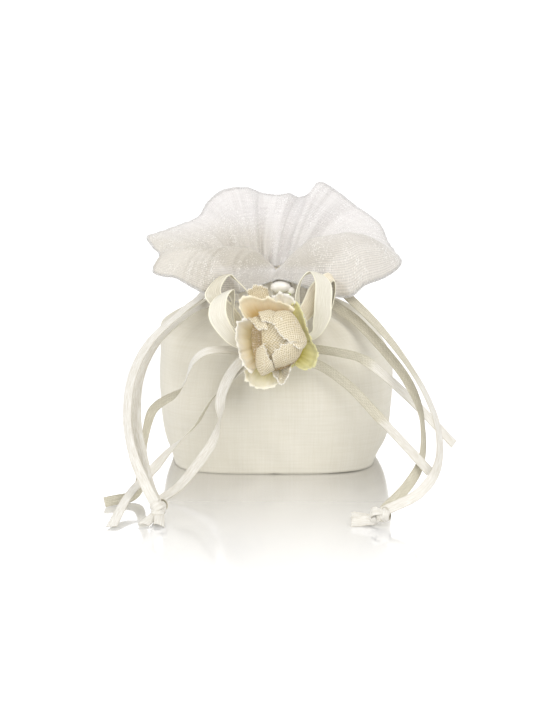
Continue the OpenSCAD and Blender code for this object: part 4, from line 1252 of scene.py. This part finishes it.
# Each row: name, material, slot, CAD nodes, seed, ruffle, height and rim, and where there is one,
# the height and the points of the lip, or how strong the painted shade at the petal's foot is.
PETALS = (
    ("petal_left", "petal_satin", "petal_satin", ["outer_petal_4"], 41, 0.45, 9,
     [(-7, 7.6), (-8.7, 7.9), (-11, 6.9), (-11.6, 3.4), (-11.2, 0.6), (-10.6, -1.2)]),
    ("petal_lower_left", "petal_satin", "petal_satin", ["outer_petal_5"], 42, 0.5, 8,
     [(-10.8, -0.4), (-10.3, -3.2), (-9.4, -5), (-8.5, -6.4), (-7, -7.4)]),
    ("petal_bottom", "petal_green_foot", "petal_satin", ["outer_petal_1"], 43, 0.5, 6.6,
     [(-9.2, -6.8), (-8.8, -9.4), (-7, -11), (-4.6, -11.8), (-2, -11.7), (0.2, -10.4), (1.4, -8.2)]),
    ("petal_peach", "petal_peach", "petal_satin", ["outer_petal_3"], 44, 0.5, 7.6,
     [(-9.2, 8), (-10.3, 10.6), (-10.4, 13.2), (-7.8, 14.4), (-4.6, 13.5), (-2.3, 14), (-0.5, 13),
      (2, 12.2), (3.8, 11.6), (5, 10.4)]),
    ("petal_top", "petal_pale", "petal_satin", ["outer_petal_2"], 45, 0.4, 6.4,
     [(-1.5, 14.2), (1.2, 15.2), (3.6, 14.4), (5.4, 12.6)]),
    ("lace_upper", "lace", "lace", ["lace_petal_1"], 46, 0.25, 8.6,
     [(-0.8, 10), (1.5, 10.5), (3.8, 10.2), (6.1, 7.6), (7.7, 4.2), (8.7, 1.4), (7.8, -0.4)],
     12.8, [(-1.2, 6.6), (-0.2, 5.2), (0.6, 3.8), (2, 2.4), (3.4, 1.3), (5.2, 0), (6.6, -0.9)]),
    ("lace_top_fold", "lace", "lace", [], 47, 0.25, 8.4,
     [(-5.4, 10), (-2.9, 10.6), (-0.6, 10.3)],
     12, [(-4.4, 7.4), (-2, 6.8), (0.4, 6.2)]),
    ("lace_left_flap", "lace", "lace", [], 48, 0.25, 9.4,
     [(-8.4, 8.2), (-5.8, 8.6), (-3.4, 8.2)],
     12.4, [(-6.9, 6.3), (-5, 4.8), (-2.6, 5.2)]),
    ("lace_middle", "lace", "lace", ["lace_petal_2"], 49, 0.4, 10.4,
     [(-4.6, 8.8), (-4.4, 5), (-4.3, 1.2), (-3.8, -2), (-2.4, -5)],
     11.6, [(1.2, 8.6), (2.4, 5.4), (3.6, 2.6), (4, 0.2), (2, -4)]),
    ("lace_lower_left", "lace", "lace", ["lace_petal_3"], 50, 0.25, 8.6,
     [(-5.8, -0.6), (-6.2, -3), (-5.9, -5.6), (-4.6, -8.3), (-2.6, -7.8), (-0.6, -6.7)],
     12.6, [(-3.7, 1), (-3.3, -0.4), (-2.8, -1.8), (-2.3, -3), (-1.9, -3.7), (-1.5, -4)]),
    ("lace_lower_right", "lace", "lace", ["lace_petal_4"], 51, 0.25, 9,
     [(8.3, 1.2), (7.3, -1.3), (5.4, -3.8), (3.2, -5.2), (1.2, -5.9), (-0.7, -6.3)],
     13.2, [(5.6, 1.3), (3.8, 1.3), (2, 0.8), (0.8, 0.1), (-0.4, -0.9), (-1.4, -2.5)]),
    # The tip takes the lighter lace and less painted shade at its foot, a painted light against its shadow.
    ("lace_tip", "lace_light", "lace", [], 52, 0.25, 7.6,
     [(-1.6, -6.4), (-0.4, -8.9), (1.5, -10.6), (3.1, -8.4), (4.2, -5.2)], None, None, 0.45),
    ("lace_back_tab", "lace", "lace", [], 58, 0.25, 5,
     [(-8.4, 15.6), (-6, 17.4), (-2.6, 16.6)]),
    # The inner petals in the darker lace: painted shade of the rose's inside.
    ("rose_inside", "lace_shade", "rose_heart", [], 53, 0.25, 6.4,
     [(-6.9, 7), (-7.4, 3), (-6.9, -1), (-5.6, -5), (-1, -7), (4, -5.4), (7, -2), (7.4, 2.4)],
     7.8, [(-2.4, 7.8), (-2, 5), (-1.6, 2), (-1, 0), (0, -1), (1, -1), (1.6, 0), (1.4, 2)]),
    ("rose_inside_back", "lace_shade", "rose_heart", [], 56, 0.25, 6.2,
     [(-6.6, 8.6), (-3, 10.2), (1, 10.4), (4.6, 8.6), (7, 5.4), (7.8, 2)],
     7.6, [(-3, 6.6), (-2, 6.4), (-0.6, 6), (0.6, 5), (1.4, 4), (1.8, 2.4)]),
    ("sepal_upper", "green_cloth", "green_cloth", ["upper_sepal"], 54, 0.1, 6.2,
     [(4.2, 12.2), (5.8, 12.4), (7.4, 9), (8.2, 6), (9.3, 3), (10, 1.2)]),
    ("leaf_lower", "green_cloth", "green_cloth", ["lower_sepal"], 55, 0.2, 5.8,
     [(9.6, 1.8), (11.2, -0.8), (11.4, -3.6), (10, -5.9), (7.6, -6.4), (5.6, -5.6)]))
for petal in PETALS:
    bloom(*petal)


def lathe(name, outline, material, columns):
    """A turned form in the rose's frame from an outline of radius and height."""
    angle = np.arange(columns) / columns * TAU
    outline = np.array(outline, float)
    grid = np.stack([outline[:, :1] * np.cos(angle), outline[:, :1] * np.sin(angle),
                     np.repeat(outline[:, 1:], columns, axis=1)], axis=2)
    uv = np.stack([np.tile(angle * 6, len(outline)), np.repeat(outline[:, 1], columns)], axis=1)
    return mesh_piece(name, rose_place(grid).reshape(-1, 3), tube_faces(len(outline), columns), uv,
                      COATS[material])


for name, replaced, material, slot, columns, outline in (
        ("rose_stem_wire", "rose_stem", "taped_wire", "wire", 20,
         [(0.6, 0), (0.62, 0.4), (0.58, 0.7), (0.62, 1.3)]),
        ("calyx_cloth", "calyx", "green_cloth", "green_cloth", 60,
         [(1.0, 1.0), (2.2, 1.3), (4.6, 2.0), (6.8, 2.7), (7.6, 3.0), (7.2, 3.1)]),
        # The heart's brown-beige is painted shade of the rose's recess.
        ("rose_heart", "rose_core", "heart_cloth_painted_shade", "rose_heart", 48,
         [(0.6, 3.0), (2.6, 3.4), (4.0, 5), (4.3, 6.8), (3.6, 8.4), (2.2, 9.6), (0.6, 10.1)])):
    dress(lathe(name, outline, material, columns), "rose", [replaced])


# ---- The pearls -----------------------------------------------------------------------------------

def ball(name, centre, radius, stretch=(1, 1, 1)):
    """A pearl with a small dimple where its wire goes in."""
    rows, columns = 38, 64
    lift = np.linspace(0, math.pi, rows + 2)[1:-1]
    angle = np.arange(columns) / columns * TAU
    dimple = 1 - 0.12 * hump(lift, 0.22)
    grid = np.stack([np.outer(np.sin(lift) * dimple, np.cos(angle)),
                     np.outer(np.sin(lift) * dimple, np.sin(angle)),
                     np.repeat((-np.cos(lift) * dimple)[:, None], columns, axis=1)], axis=2)
    points = np.vstack([grid.reshape(-1, 3), [(0, 0, -0.88)], [(0, 0, 1)]])
    faces = grid_faces(rows, columns, closed=True)
    foot, top = len(points) - 2, len(points) - 1
    last = (rows - 1) * columns
    for k in range(columns):
        j = (k + 1) % columns
        faces += [(foot, j, k), (top, last + k, last + j)]
    points = np.array(centre) + points * radius * np.array(stretch)
    return mesh_piece(name, points, faces, None, COATS["pearl"])


def make_pearls():
    """Two pearls on a taped wire that comes up out of the bow's knot."""
    large = np.array((1.6, -8.9, 54.2))
    small = large + (3.1, 0, -1.2)
    dress(ball("large_pearl_bead", large, 1.9, (1.6, 1, 0.95)), "pouch", ["large_pearl"])
    dress(ball("small_pearl_bead", small, 1.2), "pouch", ["small_pearl"])
    parts = []
    start = np.array((0, KNOT_Y, 43.0))
    share = np.linspace(0, 1, 24)[:, None]
    a = (np.arange(10) / 10 * TAU)[None, :, None]
    for place, bend in ((large, 0.4), (small, -0.4)):
        line = start + (place - start) * share + np.array((bend, 0, 0)) * np.sin(share * math.pi)
        ahead = unit(np.gradient(line, axis=0))
        side = unit(np.cross(ahead, (1.0, 0, 0)))
        other = np.cross(ahead, side)
        ring = line[:, None] + 0.4 * (np.cos(a) * side[:, None] + np.sin(a) * other[:, None])
        parts.append(mesh_piece("wire", ring.reshape(-1, 3), tube_faces(len(line), 10), None,
                                COATS["taped_wire"]))
    dress(joined("pearl_wire_tape", parts), "pouch", ["pearl_wire"])


make_pearls()


# ---- Floor, light and the sizes -------------------------------------------------------------------

def make_floor():
    """A white table that mirrors the pouch softly, less and less with the distance from it."""
    mesh = bpy.data.meshes.new("table")
    half_metres = 6.0
    mesh.from_pydata([(x * half_metres, y * half_metres, 0) for x, y in ((-1, -1), (1, -1), (1, 1), (-1, 1))],
                     [], [(0, 1, 2, 3)])
    under_pouch, fade = (("X", 30.0), ("Y", 18.0)), 130.0
    material, n = start_material("white_table")
    place = n.axes(object_place(n))
    sideways, forward = (n.math("MAXIMUM", n.minus(n.math("ABSOLUTE", place[axis]), reach), 0.0)
                         for axis, reach in under_pouch)
    away = n.math("SQRT", n.plus(n.times(sideways, sideways), n.times(forward, forward)))
    shown = n.add("ShaderNodeLightPath").outputs["Is Camera Ray"]
    diffuse = n.first("ShaderNodeBsdfDiffuse", {"Color": (0.8, 0.8, 0.8, 1)})
    glow = n.first("ShaderNodeEmission", {"Color": (1, 1, 1, 1), "Strength": n.times(n.visible(), 0.42)})
    mirror = n.first("ShaderNodeBsdfGlossy", {"Color": (0.81, 0.805, 0.81, 1), "Roughness": 0.1})
    mixed = n.first("ShaderNodeMixShader", {
        0: n.times(n.spread(away, 0.0, fade, 0.97, 0.0), shown),
        1: n.first("ShaderNodeAddShader", {0: diffuse, 1: glow}), 2: mirror})
    n.add("ShaderNodeOutputMaterial", {0: mixed})
    mesh.materials.append(material)
    put("table", mesh)


def make_lights():
    """A white world and three round lamps: their place, size, power and colour."""
    world = bpy.data.worlds.new("studio")
    bpy.context.scene.world = world
    world.use_nodes = True
    world.node_tree.nodes.clear()
    n = Nodes(world.node_tree)
    n.add("ShaderNodeOutputWorld", {0: n.first("ShaderNodeBackground", {
        "Color": (1, 1, 1, 1), "Strength": n.spread(n.visible(), 0, 1, 0.68, 1.0)})})
    for name, place, size, power, colour in (
            ("key", (0.4, -0.65, 0.7), 0.7, 3.8, (1, 0.985, 0.96)),
            ("fill", (-0.7, -0.5, 0.4), 0.8, 2.7, (1, 1, 1)),
            ("back", (0.1, 0.8, 0.6), 0.9, 1.6, (1, 1, 1))):
        data = bpy.data.lights.new(name, "AREA")
        data.shape = "DISK"
        data.size = size
        data.energy = power
        data.color = colour
        lamp = put(name, data)
        lamp.location = place
        lamp.rotation_euler = (Vector((0, 0, 0.03)) - Vector(place)).to_track_quat("-Z", "Y").to_euler()


make_floor()
make_lights()
bpy.context.scene.view_settings.view_transform = "Standard"
